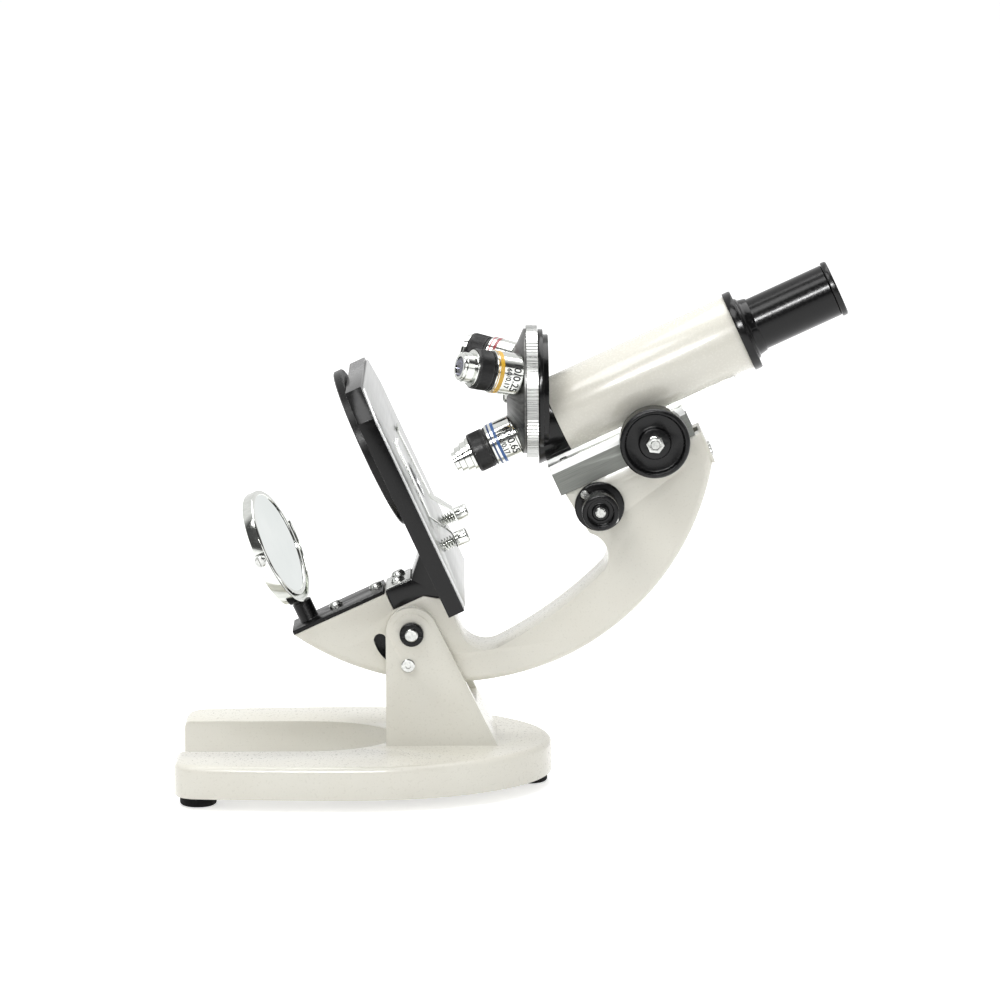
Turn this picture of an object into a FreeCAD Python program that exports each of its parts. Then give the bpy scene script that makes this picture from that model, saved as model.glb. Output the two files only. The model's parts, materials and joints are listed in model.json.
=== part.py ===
"""Monocular student microscope with a tilting arm, as one parametric document.

Two frames are used. The base frame has its X zero on the tilt pivot and Z zero on the
table. The arm frame has its origin on the tilt pivot and stands upright: x runs to the
rear, z runs up along the body tube. Every piece above the pivot is drawn in the arm
frame, and its Placement leans it back by the tilt angle.
"""
import FreeCAD, Part
import math
import os

import Sketcher
from FreeCAD import Placement, Rotation, Vector

SIZES = [
    # base casting
    ("foot_height", 6.0), ("foot_radius", 8.5), ("foot_plug_radius", 3.5), ("foot_plug_length", 6.0),
    ("base_thickness", 15.5), ("base_front", 109.0), ("base_rear", 65.6), ("base_half_width", 64.0),
    ("base_front_half_width", 59.0), ("base_widest_ahead", 25.0), ("base_edge_round", 3.0),
    ("base_front_corner", 11.0), ("bay_half_width", 31.0), ("bay_end_ahead", 8.0),
    ("bay_round_length", 42.0), ("foot_front_inset", 10.5), ("foot_side", 44.0), ("foot_rear_inset", 10.5),
    # pillar
    ("pivot_height", 75.0), ("cheek_radius", 12.0), ("cheek_thickness", 5.3), ("cheek_foot_rear", 40.5),
    ("web_thickness", 7.0), ("web_top_below_pivot", 34.0), ("arm_side_gap", 0.5),
    ("pivot_bolt_radius", 3.0), ("pivot_boss_radius", 9.3), ("pivot_boss_height", 0.8),
    ("pivot_nut_radius", 5.6), ("pivot_nut_height", 3.2), ("shaft_clearance", 0.06), ("seat_gap", 0.02),
    ("stop_radius", 15.3), ("stop_pin_radius", 2.0), ("stop_screw_radius", 3.2), ("stop_slot_half", 2.9),
    ("stop_angle", 96.0), ("stop_slot_depth", 4.5),
    # arm
    ("tilt", 65.2), ("arm_thickness", 29.0), ("arm_edge_round", 3.5), ("tail_front", 21.0),
    ("tail_bottom", 51.0), ("tail_top", 3.5), ("seat_front", 12.5), ("seat_rise", 12.0),
    ("shelf_front", 6.7), ("shelf_top", 20.5), ("shelf_rear", 14.0), ("bow_low_x", 24.0),
    ("bow_low_z", 34.0), ("bow_top_x", 11.6), ("bow_top_z", 93.4), ("notch_x", 7.2), ("notch_z", 94.5),
    ("seat_x", 28.6), ("head_bottom", 92.0), ("head_top", 160.0), ("head_back", 13.2),
    ("back_x", 41.6), ("back_z", 63.6), ("tail_curve", 127.4), ("shelf_curve", 13.0),
    ("bow_curve", 193.0), ("notch_curve", 11.5), ("back_curve", 124.0),
    # end plate and small screws
    ("end_plate_thickness", 1.2), ("end_plate_inset", 0.4), ("end_screw_inset", 11.0),
    ("end_screw_from_edge", 5.0), ("small_screw_head", 1.9), ("small_screw_radius", 1.0),
    ("small_screw_length", 5.0), ("small_screw_head_height", 1.0),
    # optical axis, stage
    ("stage_front", 118.4), ("stage_rear", 6.4), ("stage_half_width", 57.5),
    ("stage_top", 31.1), ("stage_thickness", 8.9), ("stage_plate_thickness", 1.2),
    ("stage_chamfer_x", 14.0), ("stage_chamfer_y", 12.0), ("stage_aperture", 9.0), ("stage_rim", 1.6),
    ("bracket_width", 27.0), ("bracket_foot", 3.2), ("bracket_front", 22.0), ("bracket_rise", 10.0),
    ("bracket_reach", 36.0), ("bracket_seat_gap", 0.1), ("bracket_slope_gap", 0.7),
    ("strip_thickness", 0.8), ("strip_inset", 0.6), ("strip_side_inset", 1.5), ("strip_screw_y", 7.0),
    ("strip_screw_z", 3.6), ("bracket_screw_high", 7.6), ("bracket_screw_low", 28.4),
    ("stage_screw_head", 3.3), ("stage_screw_radius", 1.6), ("stage_screw_length", 7.0),
    ("stage_screw_head_height", 2.2),
    # disc diaphragm
    ("disc_radius", 39.0), ("disc_thickness", 4.2), ("disc_gap", 0.9), ("disc_centre_x", 84.4),
    ("disc_pivot_radius", 2.4), ("disc_pivot_head", 5.0), ("disc_pivot_head_height", 1.6),
    # stage clips
    ("clip_post_x", 33.5), ("clip_post_y", 31.0), ("clip_post_radius", 1.6), ("clip_cap_radius", 3.5),
    ("clip_cap_height", 6.0), ("clip_rise", 6.6), ("clip_leaf_thickness", 0.6), ("clip_leaf_width", 6.6),
    ("clip_length", 54.0), ("clip_bend", 14.5), ("clip_turn", 13.0), ("clip_spring_radius", 2.6),
    ("clip_spring_wire", 0.38), ("clip_spring_turns", 4.0),
    # substage mirror
    ("mirror_plate_thickness", 2.0), ("mirror_plate_width", 26.0), ("mirror_drop", 42.2),
    ("socket_radius", 4.6), ("socket_length", 9.0), ("stem_radius", 2.5), ("mirror_cell_radius", 26.5),
    ("mirror_cell_height", 5.6), ("mirror_glass_radius", 24.6), ("mirror_glass_thickness", 2.0),
    ("fork_gap", 1.7), ("fork_thickness", 1.5), ("fork_width", 6.0), ("mirror_swivel", 11.0),
    ("trunnion_radius", 1.3), ("trunnion_head", 2.7), ("trunnion_head_height", 1.5),
    # guide, gibs and focusing
    ("guide_front", 43.6), ("gib_thickness", 4.0), ("guide_half_width", 15.0), ("guide_bottom", 90.0),
    ("guide_top", 158.0), ("guide_back_gap", 0.2), ("slot_half", 4.2), ("rail_half_front", 5.4),
    ("rail_half_back", 7.4), ("rail_depth", 4.0), ("rail_above_cam", 20.0), ("coarse_x", 35.6),
    ("coarse_z", 140.0), ("coarse_shaft_radius", 3.0), ("coarse_knob_radius", 16.2),
    ("coarse_knob_inner", 18.5), ("coarse_knob_outer", 32.0), ("coarse_nut_flat", 3.7),
    ("coarse_nut_height", 3.0), ("fine_x", 17.0), ("fine_z", 104.0), ("fine_shaft_radius", 2.5),
    ("fine_flange_radius", 11.5), ("fine_flange_thickness", 2.6), ("flange_screw_from_edge", 2.4),
    ("fine_knob_radius", 8.5),
    ("fine_knob_gap", 1.3), ("fine_knob_length", 14.5), ("cam_radius", 6.0), ("cam_lift", 1.0),
    ("cam_turn", 170.0), ("cam_width", 6.0), ("cam_gap", 0.06), ("follower_half", 2.6),
    ("gib_screw_head", 2.0), ("gib_screw_radius", 1.1), ("gib_screw_length", 6.0),
    ("gib_screw_head_height", 0.9), ("gib_screw_from_side", 2.6), ("gib_screw_from_end", 8.0),
    # rack and pinion
    ("tooth_module", 0.5), ("pinion_teeth", 16.0), ("pinion_width", 7.0), ("rack_half", 3.0),
    ("rack_addendum", 0.4), ("rack_depth", 2.2), ("tooth_backlash", 0.12),
    # tube
    ("tube_radius", 18.0), ("tube_guide_gap", 0.1), ("tube_wall", 2.6), ("tube_bottom", 103.0),
    ("tube_top", 195.8),
    ("slide_top", 186.0), ("slide_half_front", 7.6), ("slide_half_back", 9.4), ("slide_clearance", 0.08),
    ("slide_back", 40.3), ("top_flange_radius", 19.3), ("top_flange_height", 4.0),
    ("collar_radius", 14.4), ("collar_top", 205.0), ("drawtube_radius", 12.5), ("drawtube_bore", 11.65),
    ("drawtube_top", 242.9), ("eyepiece_rim_radius", 13.4), ("eyepiece_top", 245.8),
    ("eyepiece_clearance", 0.05), ("eyepiece_depth", 34.0), ("eyepiece_wall", 1.3),
    # nosepiece
    ("nose_tilt", 24.2), ("nose_reach", 35.1), ("nose_cross_z", 131.8), ("ring_radius", 31.0),
    ("ring_width", 5.2), ("ring_teeth", 108.0), ("ring_tooth_depth", 0.45), ("dome_top_radius", 11.5),
    ("dome_wall", 3.0),
    ("nose_plate_radius", 28.6), ("nose_plate_thickness", 2.2), ("nose_back_radius", 26.2),
    ("nose_back_thickness", 2.4), ("nose_gap", 0.4), ("light_bore", 7.0), ("nose_screw_radius", 2.5),
    ("nose_screw_head", 5.6), ("objective_neck", 7.9), ("seat_depth", 10.2),
    # objectives
    ("barrel_radius", 9.9), ("barrel_bore", 6.5), ("grip_radius", 9.2), ("nose_cavity_radius", 4.7),
    ("x40_barrel", 12.4), ("x40_grip", 9.2), ("x10_barrel", 13.2), ("x10_grip", 8.6),
    ("x4_barrel", 12.6), ("x4_grip", 9.8),
]

doc = FreeCAD.newDocument("Microscope")
sheet = doc.addObject("Spreadsheet::Sheet", "dims")


class Size:
    """A number that remembers the sheet expression it comes from."""

    def __init__(self, value, text):
        self.value = float(value)
        self.text = text

    def __add__(self, other):
        return Size(self.value + number(other), f"({self.text} + {words(other)})")

    def __radd__(self, other):
        return Size(number(other) + self.value, f"({words(other)} + {self.text})")

    def __sub__(self, other):
        return Size(self.value - number(other), f"({self.text} - {words(other)})")

    def __rsub__(self, other):
        return Size(number(other) - self.value, f"({words(other)} - {self.text})")

    def __mul__(self, other):
        return Size(self.value * number(other), f"({self.text} * {words(other)})")

    def __rmul__(self, other):
        return Size(number(other) * self.value, f"({words(other)} * {self.text})")

    def __truediv__(self, other):
        return Size(self.value / number(other), f"({self.text} / {words(other)})")

    def __neg__(self):
        return Size(-self.value, f"(0 - {self.text})")


def number(size):
    """The plain value of a size or a number."""
    return size.value if isinstance(size, Size) else float(size)


def words(size):
    """The sheet expression of a size or a number."""
    return size.text if isinstance(size, Size) else f"{float(size):.6f}"


class Dims:
    """Named sizes, read back from the sheet."""


d = Dims()
for row, (alias, value) in enumerate(SIZES, start=1):
    sheet.set(f"A{row}", alias)
    sheet.set(f"B{row}", str(value))
    sheet.setAlias(f"B{row}", alias)
doc.recompute()
for alias, value in SIZES:
    setattr(d, alias, Size(getattr(sheet, alias), f"dims.{alias}"))

d.axis_x = d.guide_front + d.tube_guide_gap + d.tube_radius

nodes = []


# ---------------------------------------------------------------- places

def turn(axis, degrees):
    return Placement(Vector(), Rotation(axis, number(degrees)))


def at(x, y, z):
    return Placement(Vector(number(x), number(y), number(z)), Rotation())


AXIS_X = Vector(1, 0, 0)
AXIS_Y = Vector(0, 1, 0)
AXIS_Z = Vector(0, 0, 1)

lean = math.radians(d.tilt.value)
rim_reach = (d.eyepiece_rim_radius.value - d.axis_x.value) * math.cos(lean) \
    + d.eyepiece_top.value * math.sin(lean)
pivot_x = (d.base_front.value - rim_reach) / 2
BASE = at(pivot_x, 0, 0)
ARM = at(pivot_x, 0, d.pivot_height).multiply(turn(AXIS_Y, d.tilt))
TO_Y = turn(AXIS_X, -90)
TO_MINUS_Y = turn(AXIS_X, 90)
TO_MINUS_X = turn(AXIS_Y, -90)
TUBE = ARM.multiply(at(-d.axis_x, 0, 0))
NOSE_CROSS = ARM.multiply(at(-d.axis_x, 0, d.nose_cross_z))
NOSE = NOSE_CROSS.multiply(turn(AXIS_Y, 180 + d.nose_tilt.value)).multiply(at(0, 0, d.nose_reach))


# ---------------------------------------------------------------- drawing helpers

def plane_of(body, role):
    for feature in body.Origin.OriginFeatures:
        if feature.Role == role:
            return feature
    raise ValueError(f"{body.Label} has no {role}")


def new_body(label):
    body = doc.addObject("PartDesign::Body", label)
    body.Label = label
    return body


def new_sketch(body, role, lift=0):
    sketch = body.newObject("Sketcher::SketchObject", f"{body.Label}_sketch")
    sketch.AttachmentSupport = [(plane_of(body, role), "")]
    sketch.MapMode = "FlatFace"
    sketch.AttachmentOffset = Placement(Vector(0, 0, number(lift)), Rotation())
    if isinstance(lift, Size):
        sketch.setExpression("AttachmentOffset.Base.z", lift.text)
    return sketch


def pin_point(sketch, edge, end, x, y):
    """Fix one end of an edge at x, y from the sketch origin."""
    for kind, size in (("DistanceX", x), ("DistanceY", y)):
        index = sketch.addConstraint(Sketcher.Constraint(kind, -1, 1, edge, end, number(size)))
        if isinstance(size, Size):
            sketch.setExpression(f"Constraints[{index}]", size.text)


def arc_between(a, b, radius):
    """The arc from a to b; a positive radius bulges to the right of the way from a to b."""
    chord = b.sub(a)
    half = chord.Length / 2
    size = abs(radius)
    sagitta = size - math.sqrt(size * size - half * half)
    right = Vector(chord.y, -chord.x, 0).normalize()
    middle = a.add(b).multiply(0.5).add(right.multiply(math.copysign(sagitta, radius)))
    return Part.Arc(a, middle, b)


def outline(sketch, points):
    """A closed outline. Each point is (x, y) or (x, y, radius of the arc that arrives there)."""
    places = [Vector(number(p[0]), number(p[1]), 0) for p in points]
    edges = []
    for i, point in enumerate(points):
        start = places[i - 1]
        end = places[i]
        if len(point) == 3:
            edges.append(sketch.addGeometry(arc_between(start, end, number(point[2])), False))
        else:
            edges.append(sketch.addGeometry(Part.LineSegment(start, end), False))
    for i, point in enumerate(points):
        if len(point) == 2:
            before = points[i - 1]
            pin_point(sketch, edges[i], 1, before[0], before[1])
            pin_point(sketch, edges[i], 2, point[0], point[1])


def circle(sketch, x, y, radius):
    edge = sketch.addGeometry(Part.Circle(Vector(number(x), number(y), 0), AXIS_Z, number(radius)), False)
    pin_point(sketch, edge, 3, x, y)
    index = sketch.addConstraint(Sketcher.Constraint("Radius", edge, number(radius)))
    if isinstance(radius, Size):
        sketch.setExpression(f"Constraints[{index}]", radius.text)


def pad(body, sketch, length, symmetric=False, reverse=False):
    feature = body.newObject("PartDesign::Pad", f"{body.Label}_pad")
    feature.Profile = sketch
    feature.Length = number(length)
    if isinstance(length, Size):
        feature.setExpression("Length", length.text)
    feature.SideType = "Symmetric" if symmetric else "One side"
    feature.Reversed = reverse
    return feature


def pocket(body, sketch, length=None, symmetric=False, reverse=False):
    feature = body.newObject("PartDesign::Pocket", f"{body.Label}_pocket")
    feature.Profile = sketch
    if length is None:
        feature.Type = "ThroughAll"
    else:
        feature.Length = number(length)
        if isinstance(length, Size):
            feature.setExpression("Length", length.text)
    feature.SideType = "Symmetric" if symmetric else "One side"
    feature.Reversed = reverse
    return feature


def keep(obj, place):
    obj.Placement = place
    nodes.append(obj)
    return obj


def turned(label, points, place, keep_it=True):
    """A lathe piece: (radius, height) points turned about the piece's own Z."""
    body = new_body(label)
    sketch = new_sketch(body, "XZ_Plane")
    outline(sketch, points)
    spin = body.newObject("PartDesign::Revolution", f"{label}_turning")
    spin.Profile = sketch
    spin.ReferenceAxis = (sketch, ["V_Axis"])
    spin.Angle = 360
    if keep_it:
        keep(body, place)
    return body


def slab(label, points, thickness, place, role="XZ_Plane", symmetric=True, keep_it=True):
    """A plate or block: an outline padded by its thickness."""
    body = new_body(label)
    sketch = new_sketch(body, role)
    outline(sketch, points)
    pad(body, sketch, thickness, symmetric)
    if keep_it:
        keep(body, place)
    return body


def cylinder(label, radius, height, place):
    tool = doc.addObject("Part::Cylinder", label)
    tool.Radius = number(radius)
    tool.Height = number(height)
    if isinstance(radius, Size):
        tool.setExpression("Radius", radius.text)
    if isinstance(height, Size):
        tool.setExpression("Height", height.text)
    tool.Placement = place
    return tool


def box(label, x, y, z, place):
    tool = doc.addObject("Part::Box", label)
    for name, size in (("Length", x), ("Width", y), ("Height", z)):
        setattr(tool, name, number(size))
        if isinstance(size, Size):
            tool.setExpression(name, size.text)
    tool.Placement = place
    return tool


def together(label, tools):
    group = doc.addObject("Part::MultiFuse", label)
    group.Shapes = tools
    return group


def cut(label, base, tools):
    tool = tools[0] if len(tools) == 1 else together(f"{label}_tools", tools)
    result = doc.addObject("Part::Cut", label)
    result.Base = base
    result.Tool = tool
    result.Label = label
    nodes.append(result)
    return result


def group_of(label, solids):
    """Separate solids that share one node."""
    result = doc.addObject("Part::Compound", label)
    result.Links = solids
    result.Label = label
    nodes.append(result)
    return result


def made_in_code(label, shape, place):
    feature = doc.addObject("Part::Feature", label)
    feature.Shape = shape
    feature.Label = label
    return keep(feature, place)


def drill(label, places, radius, depth):
    """Holes in a finished node, one at each place, from the place's zero down its own Z."""
    old = next(node for node in nodes if node.Label == label)
    old.Label = f"{label}_blank"
    nodes.remove(old)
    tools = []
    for i, place in enumerate(places):
        start = place.multiply(at(0, 0, -depth))
        tools.append(cylinder(f"{label}_hole_{i}", radius + d.seat_gap, depth + 1, start))
    cut(label, old, tools)


def round_edges(body, radius, wanted):
    """A fillet on the edges of the body's last feature that the test accepts."""
    doc.recompute()
    last = body.Tip
    names = [f"Edge{i}" for i, edge in enumerate(last.Shape.Edges, start=1) if wanted(edge)]
    fillet = body.newObject("PartDesign::Fillet", f"{body.Label}_round")
    fillet.Base = (last, names)
    fillet.Radius = number(radius)
    if isinstance(radius, Size):
        fillet.setExpression("Radius", radius.text)
    return fillet


def middle_of(edge):
    return edge.valueAt((edge.FirstParameter + edge.LastParameter) / 2)


# ---------------------------------------------------------------- base

base_top = d.foot_height + d.base_thickness
cheek_inner = d.arm_thickness / 2 + d.arm_side_gap
cheek_outer = cheek_inner + d.cheek_thickness
FOOT_PLACES = [
    (-(d.base_front - d.foot_front_inset), d.foot_side),
    (-(d.base_front - d.foot_front_inset), -d.foot_side),
    (d.base_rear - d.foot_rear_inset, 0),
]


def half_ellipse(sketch, centre_x, length, half_width):
    """The rear half of an ellipse, from its lower end to its upper end."""
    centre = Vector(centre_x, 0, 0)
    ellipse = Part.Ellipse(centre.add(Vector(length, 0, 0)), centre.add(Vector(0, half_width, 0)), centre)
    sketch.addGeometry(Part.ArcOfEllipse(ellipse, -math.pi / 2, math.pi / 2), False)


def base_plan(sketch):
    """A horseshoe: a round rear end, two prongs to the front and a round bay between them."""
    front = -d.base_front.value
    wide_x = -d.base_widest_ahead.value
    wide = d.base_half_width.value
    nose = d.base_front_half_width.value
    bay = d.bay_half_width.value
    bay_end = -d.bay_end_ahead.value
    bay_straight = bay_end - d.bay_round_length.value
    reach = wide_x - front
    drop = wide - nose
    side_radius = (reach * reach + drop * drop) / (2 * drop)
    half_ellipse(sketch, wide_x, d.base_rear.value - wide_x, wide)
    half_ellipse(sketch, bay_straight, d.bay_round_length.value, bay)
    sketch.addGeometry(arc_between(Vector(wide_x, wide, 0), Vector(front, nose, 0), side_radius), False)
    sketch.addGeometry(arc_between(Vector(front, -nose, 0), Vector(wide_x, -wide, 0), side_radius), False)
    for side in (-1, 1):
        corner = Vector(front, side * nose, 0)
        mouth = Vector(front, side * bay, 0)
        sketch.addGeometry(Part.LineSegment(corner, mouth), False)
        sketch.addGeometry(Part.LineSegment(mouth, Vector(bay_straight, side * bay, 0)), False)


def tangent_from(point, centre, radius):
    """Where the line from a point touches a circle, on the side away from the origin."""
    away = point.sub(centre)
    angle = math.atan2(away.y, away.x) + math.acos(radius / away.Length)
    return centre.add(Vector(radius * math.cos(angle), radius * math.sin(angle), 0))


def base_casting():
    body = new_body("base_casting")
    plan = new_sketch(body, "XY_Plane", d.foot_height)
    base_plan(plan)
    pad(body, plan, d.base_thickness)
    front = -d.base_front.value
    nose = d.base_front_half_width.value
    round_edges(body, d.base_front_corner, lambda e: abs(middle_of(e).x - front) < 0.01
                and abs(abs(middle_of(e).y) - nose) < 0.01)
    top = number(base_top)
    wide = d.bay_half_width.value
    bottom = number(d.foot_height)

    def is_outer_rim(edge):
        middle = middle_of(edge)
        outer = abs(middle.y) > wide + 2 or middle.x > 0 or (edge.Length < 30 and abs(middle.y) > wide)
        return abs(middle.z - top) < 0.01 and outer and abs(middle.z - bottom) > 1

    round_edges(body, d.base_edge_round, is_outer_rim)

    heel = Vector(d.cheek_foot_rear.value, top, 0)
    pivot = Vector(0, d.pivot_height.value, 0)
    touch = tangent_from(heel, pivot, d.cheek_radius.value)
    cheek = new_sketch(body, "XZ_Plane")
    sunk = base_top - 1
    outline(cheek, [
        (-d.cheek_radius, sunk),
        (d.cheek_foot_rear, sunk),
        (touch.x, touch.y),
        (-d.cheek_radius, d.pivot_height, d.cheek_radius.value),
    ])
    pad(body, cheek, cheek_outer * 2, symmetric=True)
    boss = new_sketch(body, "XZ_Plane")
    circle(boss, 0, d.pivot_height, d.pivot_boss_radius)
    pad(body, boss, (cheek_outer + d.pivot_boss_height) * 2, symmetric=True)

    slope = (touch.x - heel.x) / (touch.y - heel.y)
    web_top = d.pivot_height.value - d.web_top_below_pivot.value
    web = d.web_thickness.value
    low_inner = heel.x - web
    high_inner = heel.x + (web_top - heel.y) * slope - web
    gap = new_sketch(body, "XZ_Plane")
    outline(gap, [
        (-d.cheek_radius.value * 2, top),
        (low_inner, top),
        (high_inner, web_top),
        (high_inner + 2 * web, web_top),
        (high_inner + 2 * web, d.pivot_height.value + 2 * d.cheek_radius.value),
        (-d.cheek_radius.value * 2, d.pivot_height.value + 2 * d.cheek_radius.value),
    ])
    pocket(body, gap, cheek_inner * 2, symmetric=True)

    bore = new_sketch(body, "XZ_Plane")
    circle(bore, 0, d.pivot_height, d.pivot_bolt_radius)
    pocket(body, bore, cheek_outer * 4, symmetric=True)
    stop_x, stop_z = stop_place()
    stop = new_sketch(body, "XZ_Plane")
    circle(stop, stop_x, stop_z, d.stop_pin_radius)
    pocket(body, stop, cheek_outer * 2, reverse=True)
    sockets = new_sketch(body, "XY_Plane")
    for x, y in FOOT_PLACES:
        circle(sockets, x, y, d.foot_plug_radius)
    pocket(body, sockets, d.foot_height + d.foot_plug_length, reverse=True)
    keep(body, BASE)


def stop_place():
    """The stop screw stands almost under the pivot, on the radius of the arm's slot."""
    aside = math.radians(6)
    radius = d.stop_radius.value
    return -radius * math.sin(aside), d.pivot_height.value - radius * math.cos(aside)


def rubber_feet():
    feet = []
    edge = 0.8
    for i, (x, y) in enumerate(FOOT_PLACES):
        top = d.foot_height + d.foot_plug_length
        foot = turned(f"foot_{i}", [
            (0, 0), (d.foot_radius - edge, 0), (d.foot_radius, edge), (d.foot_radius, d.foot_height),
            (d.foot_plug_radius, d.foot_height), (d.foot_plug_radius, top), (0, top),
        ], None, keep_it=False)
        foot.Placement = BASE.multiply(at(x, y, 0))
        feet.append(foot)
    group_of("rubber_feet", feet)


def pivot_hardware():
    seat = cheek_outer + d.pivot_boss_height
    reach = seat + d.pivot_nut_height + 1.2
    bolt_place = BASE.multiply(at(0, 0, d.pivot_height)).multiply(TO_Y).multiply(at(0, 0, -reach))
    edge = 0.5
    turned("pivot_bolt", [
        (0, 0), (d.pivot_bolt_radius - edge, 0), (d.pivot_bolt_radius, edge),
        (d.pivot_bolt_radius, reach * 2 - edge), (d.pivot_bolt_radius - edge, reach * 2), (0, reach * 2),
    ], bolt_place)
    nuts = []
    slot_depth = 1.6
    for name, way in (("near", TO_MINUS_Y), ("far", TO_Y)):
        ring = turned(f"nut_{name}", [
            (d.pivot_bolt_radius, seat), (d.pivot_nut_radius, seat),
            (d.pivot_nut_radius, seat + d.pivot_nut_height - edge),
            (d.pivot_nut_radius - edge, seat + d.pivot_nut_height),
            (d.pivot_bolt_radius, seat + d.pivot_nut_height),
        ], None, keep_it=False)
        slot = box(f"nut_slot_{name}", d.pivot_nut_radius * 3, 2.2, slot_depth + 1,
                   at(-d.pivot_nut_radius * 1.5, -1.1, seat + d.pivot_nut_height - slot_depth))
        nut = doc.addObject("Part::Cut", f"slotted_nut_{name}")
        nut.Base = ring
        nut.Tool = slot
        nut.Placement = BASE.multiply(at(0, 0, d.pivot_height)).multiply(way)
        nuts.append(nut)
    group_of("pivot_nuts", nuts)


def tilt_stop_screw():
    stop_x, stop_z = stop_place()
    tip = d.arm_thickness / 2 - d.stop_slot_depth + 0.5
    head = cheek_outer + 1.4
    place = BASE.multiply(at(stop_x, 0, stop_z)).multiply(TO_MINUS_Y)
    socket_radius = 1.3
    turned("tilt_stop_screw", [
        (0, tip), (d.stop_pin_radius, tip), (d.stop_pin_radius, cheek_outer),
        (d.stop_screw_radius, cheek_outer), (d.stop_screw_radius, head - 0.4),
        (d.stop_screw_radius - 0.4, head), (socket_radius, head), (socket_radius, head - 1), (0, head - 1),
    ], place)


# ---------------------------------------------------------------- arm

def arm_outline():
    """Tail, stage seat, inner curve, head and the long back curve, in the arm's own plane."""
    front = -d.tail_front
    seat = -d.seat_front
    head_front = -d.seat_x
    return [
        (front, -d.tail_bottom, -d.tail_curve),
        (front, -d.tail_top),
        (seat, -d.tail_top),
        (seat, d.seat_rise),
        (-d.shelf_front, d.shelf_top),
        (d.shelf_rear, d.shelf_top),
        (d.bow_low_x, d.bow_low_z, d.shelf_curve),
        (d.bow_top_x, d.bow_top_z, d.bow_curve),
        (-d.notch_x, d.notch_z, d.notch_curve),
        (head_front, d.head_bottom),
        (head_front, d.head_top),
        (-d.head_back, d.head_top),
        (d.back_x, d.back_z, -d.back_curve),
    ]


def arc_slot(sketch, radius, half_width, start, finish):
    """A kidney slot about the origin, between two angles in degrees."""
    ends = []
    for angle in (start, finish):
        ray = math.radians(angle)
        ends.append(Vector(math.cos(ray), math.sin(ray), 0))
    outer = Part.Circle(Vector(), AXIS_Z, radius + half_width)
    inner = Part.Circle(Vector(), AXIS_Z, radius - half_width)
    low, high = math.radians(start), math.radians(finish)
    sketch.addGeometry(Part.ArcOfCircle(outer, low, high), False)
    sketch.addGeometry(Part.ArcOfCircle(inner, low, high), False)
    for end, ray, way in ((ends[0], low, -1), (ends[1], high, 1)):
        middle = Vector(end).multiply(radius)
        tip = middle.add(Vector(-math.sin(ray), math.cos(ray), 0).multiply(way * half_width))
        outside = Vector(end).multiply(radius + half_width)
        inside = Vector(end).multiply(radius - half_width)
        sketch.addGeometry(Part.Arc(outside, tip, inside), False)


def arm_casting():
    body = new_body("arm_casting")
    plan = new_sketch(body, "XZ_Plane")
    outline(plan, arm_outline())
    pad(body, plan, d.arm_thickness, symmetric=True)
    half = d.arm_thickness.value / 2

    outer_curves = (d.back_curve.value, d.tail_curve.value)

    def is_outer_curve(edge):
        on_side = abs(abs(middle_of(edge).y) - half) < 0.01
        radius = edge.Curve.Radius if hasattr(edge.Curve, "Radius") else 0
        return on_side and min(abs(radius - size) for size in outer_curves) < 0.01

    round_edges(body, d.arm_edge_round, is_outer_curve)
    bores = new_sketch(body, "XZ_Plane")
    circle(bores, 0, 0, d.pivot_bolt_radius + d.shaft_clearance)
    circle(bores, -d.fine_x, d.fine_z, d.fine_shaft_radius + d.shaft_clearance)
    pocket(body, bores, d.arm_thickness * 2, symmetric=True)

    cam_room = d.cam_radius + d.cam_lift + 1.2
    chamber = new_sketch(body, "XZ_Plane")
    outline(chamber, [
        (-(d.seat_x + 1), d.fine_z - cam_room),
        (-(d.fine_x - cam_room), d.fine_z - cam_room),
        (-(d.fine_x - cam_room), d.fine_z + cam_room + 6),
        (-(d.seat_x + 1), d.fine_z + cam_room + 6),
    ])
    pocket(body, chamber, d.cam_width + 3, symmetric=True)

    play = d.slide_clearance
    groove = new_sketch(body, "XY_Plane", d.head_top)
    outline(groove, [
        (-(d.seat_x + 1), -(d.rail_half_front + play)),
        (-d.seat_x, -(d.rail_half_front + play)),
        (-(d.seat_x - d.rail_depth - play), -(d.rail_half_back + play)),
        (-(d.seat_x - d.rail_depth - play), d.rail_half_back + play),
        (-d.seat_x, d.rail_half_front + play),
        (-(d.seat_x + 1), d.rail_half_front + play),
    ])
    pocket(body, groove, d.head_top - d.fine_z - cam_room - 2)

    slot = new_sketch(body, "XZ_Plane", d.arm_thickness / 2 - d.stop_slot_depth)
    rest_angle = d.tilt.value - d.stop_angle.value
    arc_slot(slot, d.stop_radius.value, d.stop_slot_half.value, -d.stop_angle.value - 3, rest_angle + 3)
    pocket(body, slot, d.stop_slot_depth + 1, reverse=True)
    keep(body, ARM)


def screw(label, head, shank, length, head_height, place):
    """A round-headed screw: shank up from its tip, head seated at its own zero."""
    body = turned(label, [
        (0, -length), (shank, -length), (shank, 0), (head, 0),
        (head, head_height * 0.5), (head * 0.72, head_height), (0, head_height),
    ], None, keep_it=False)
    slot = box(f"{label}_slot", head * 2.4, head * 0.3, head_height, at(
        -1.2 * number(head), -0.15 * number(head), number(head_height) * 0.55))
    cut_screw = doc.addObject("Part::Cut", f"{label}_slotted")
    cut_screw.Base = body
    cut_screw.Tool = slot
    cut_screw.Placement = place
    return cut_screw


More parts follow.
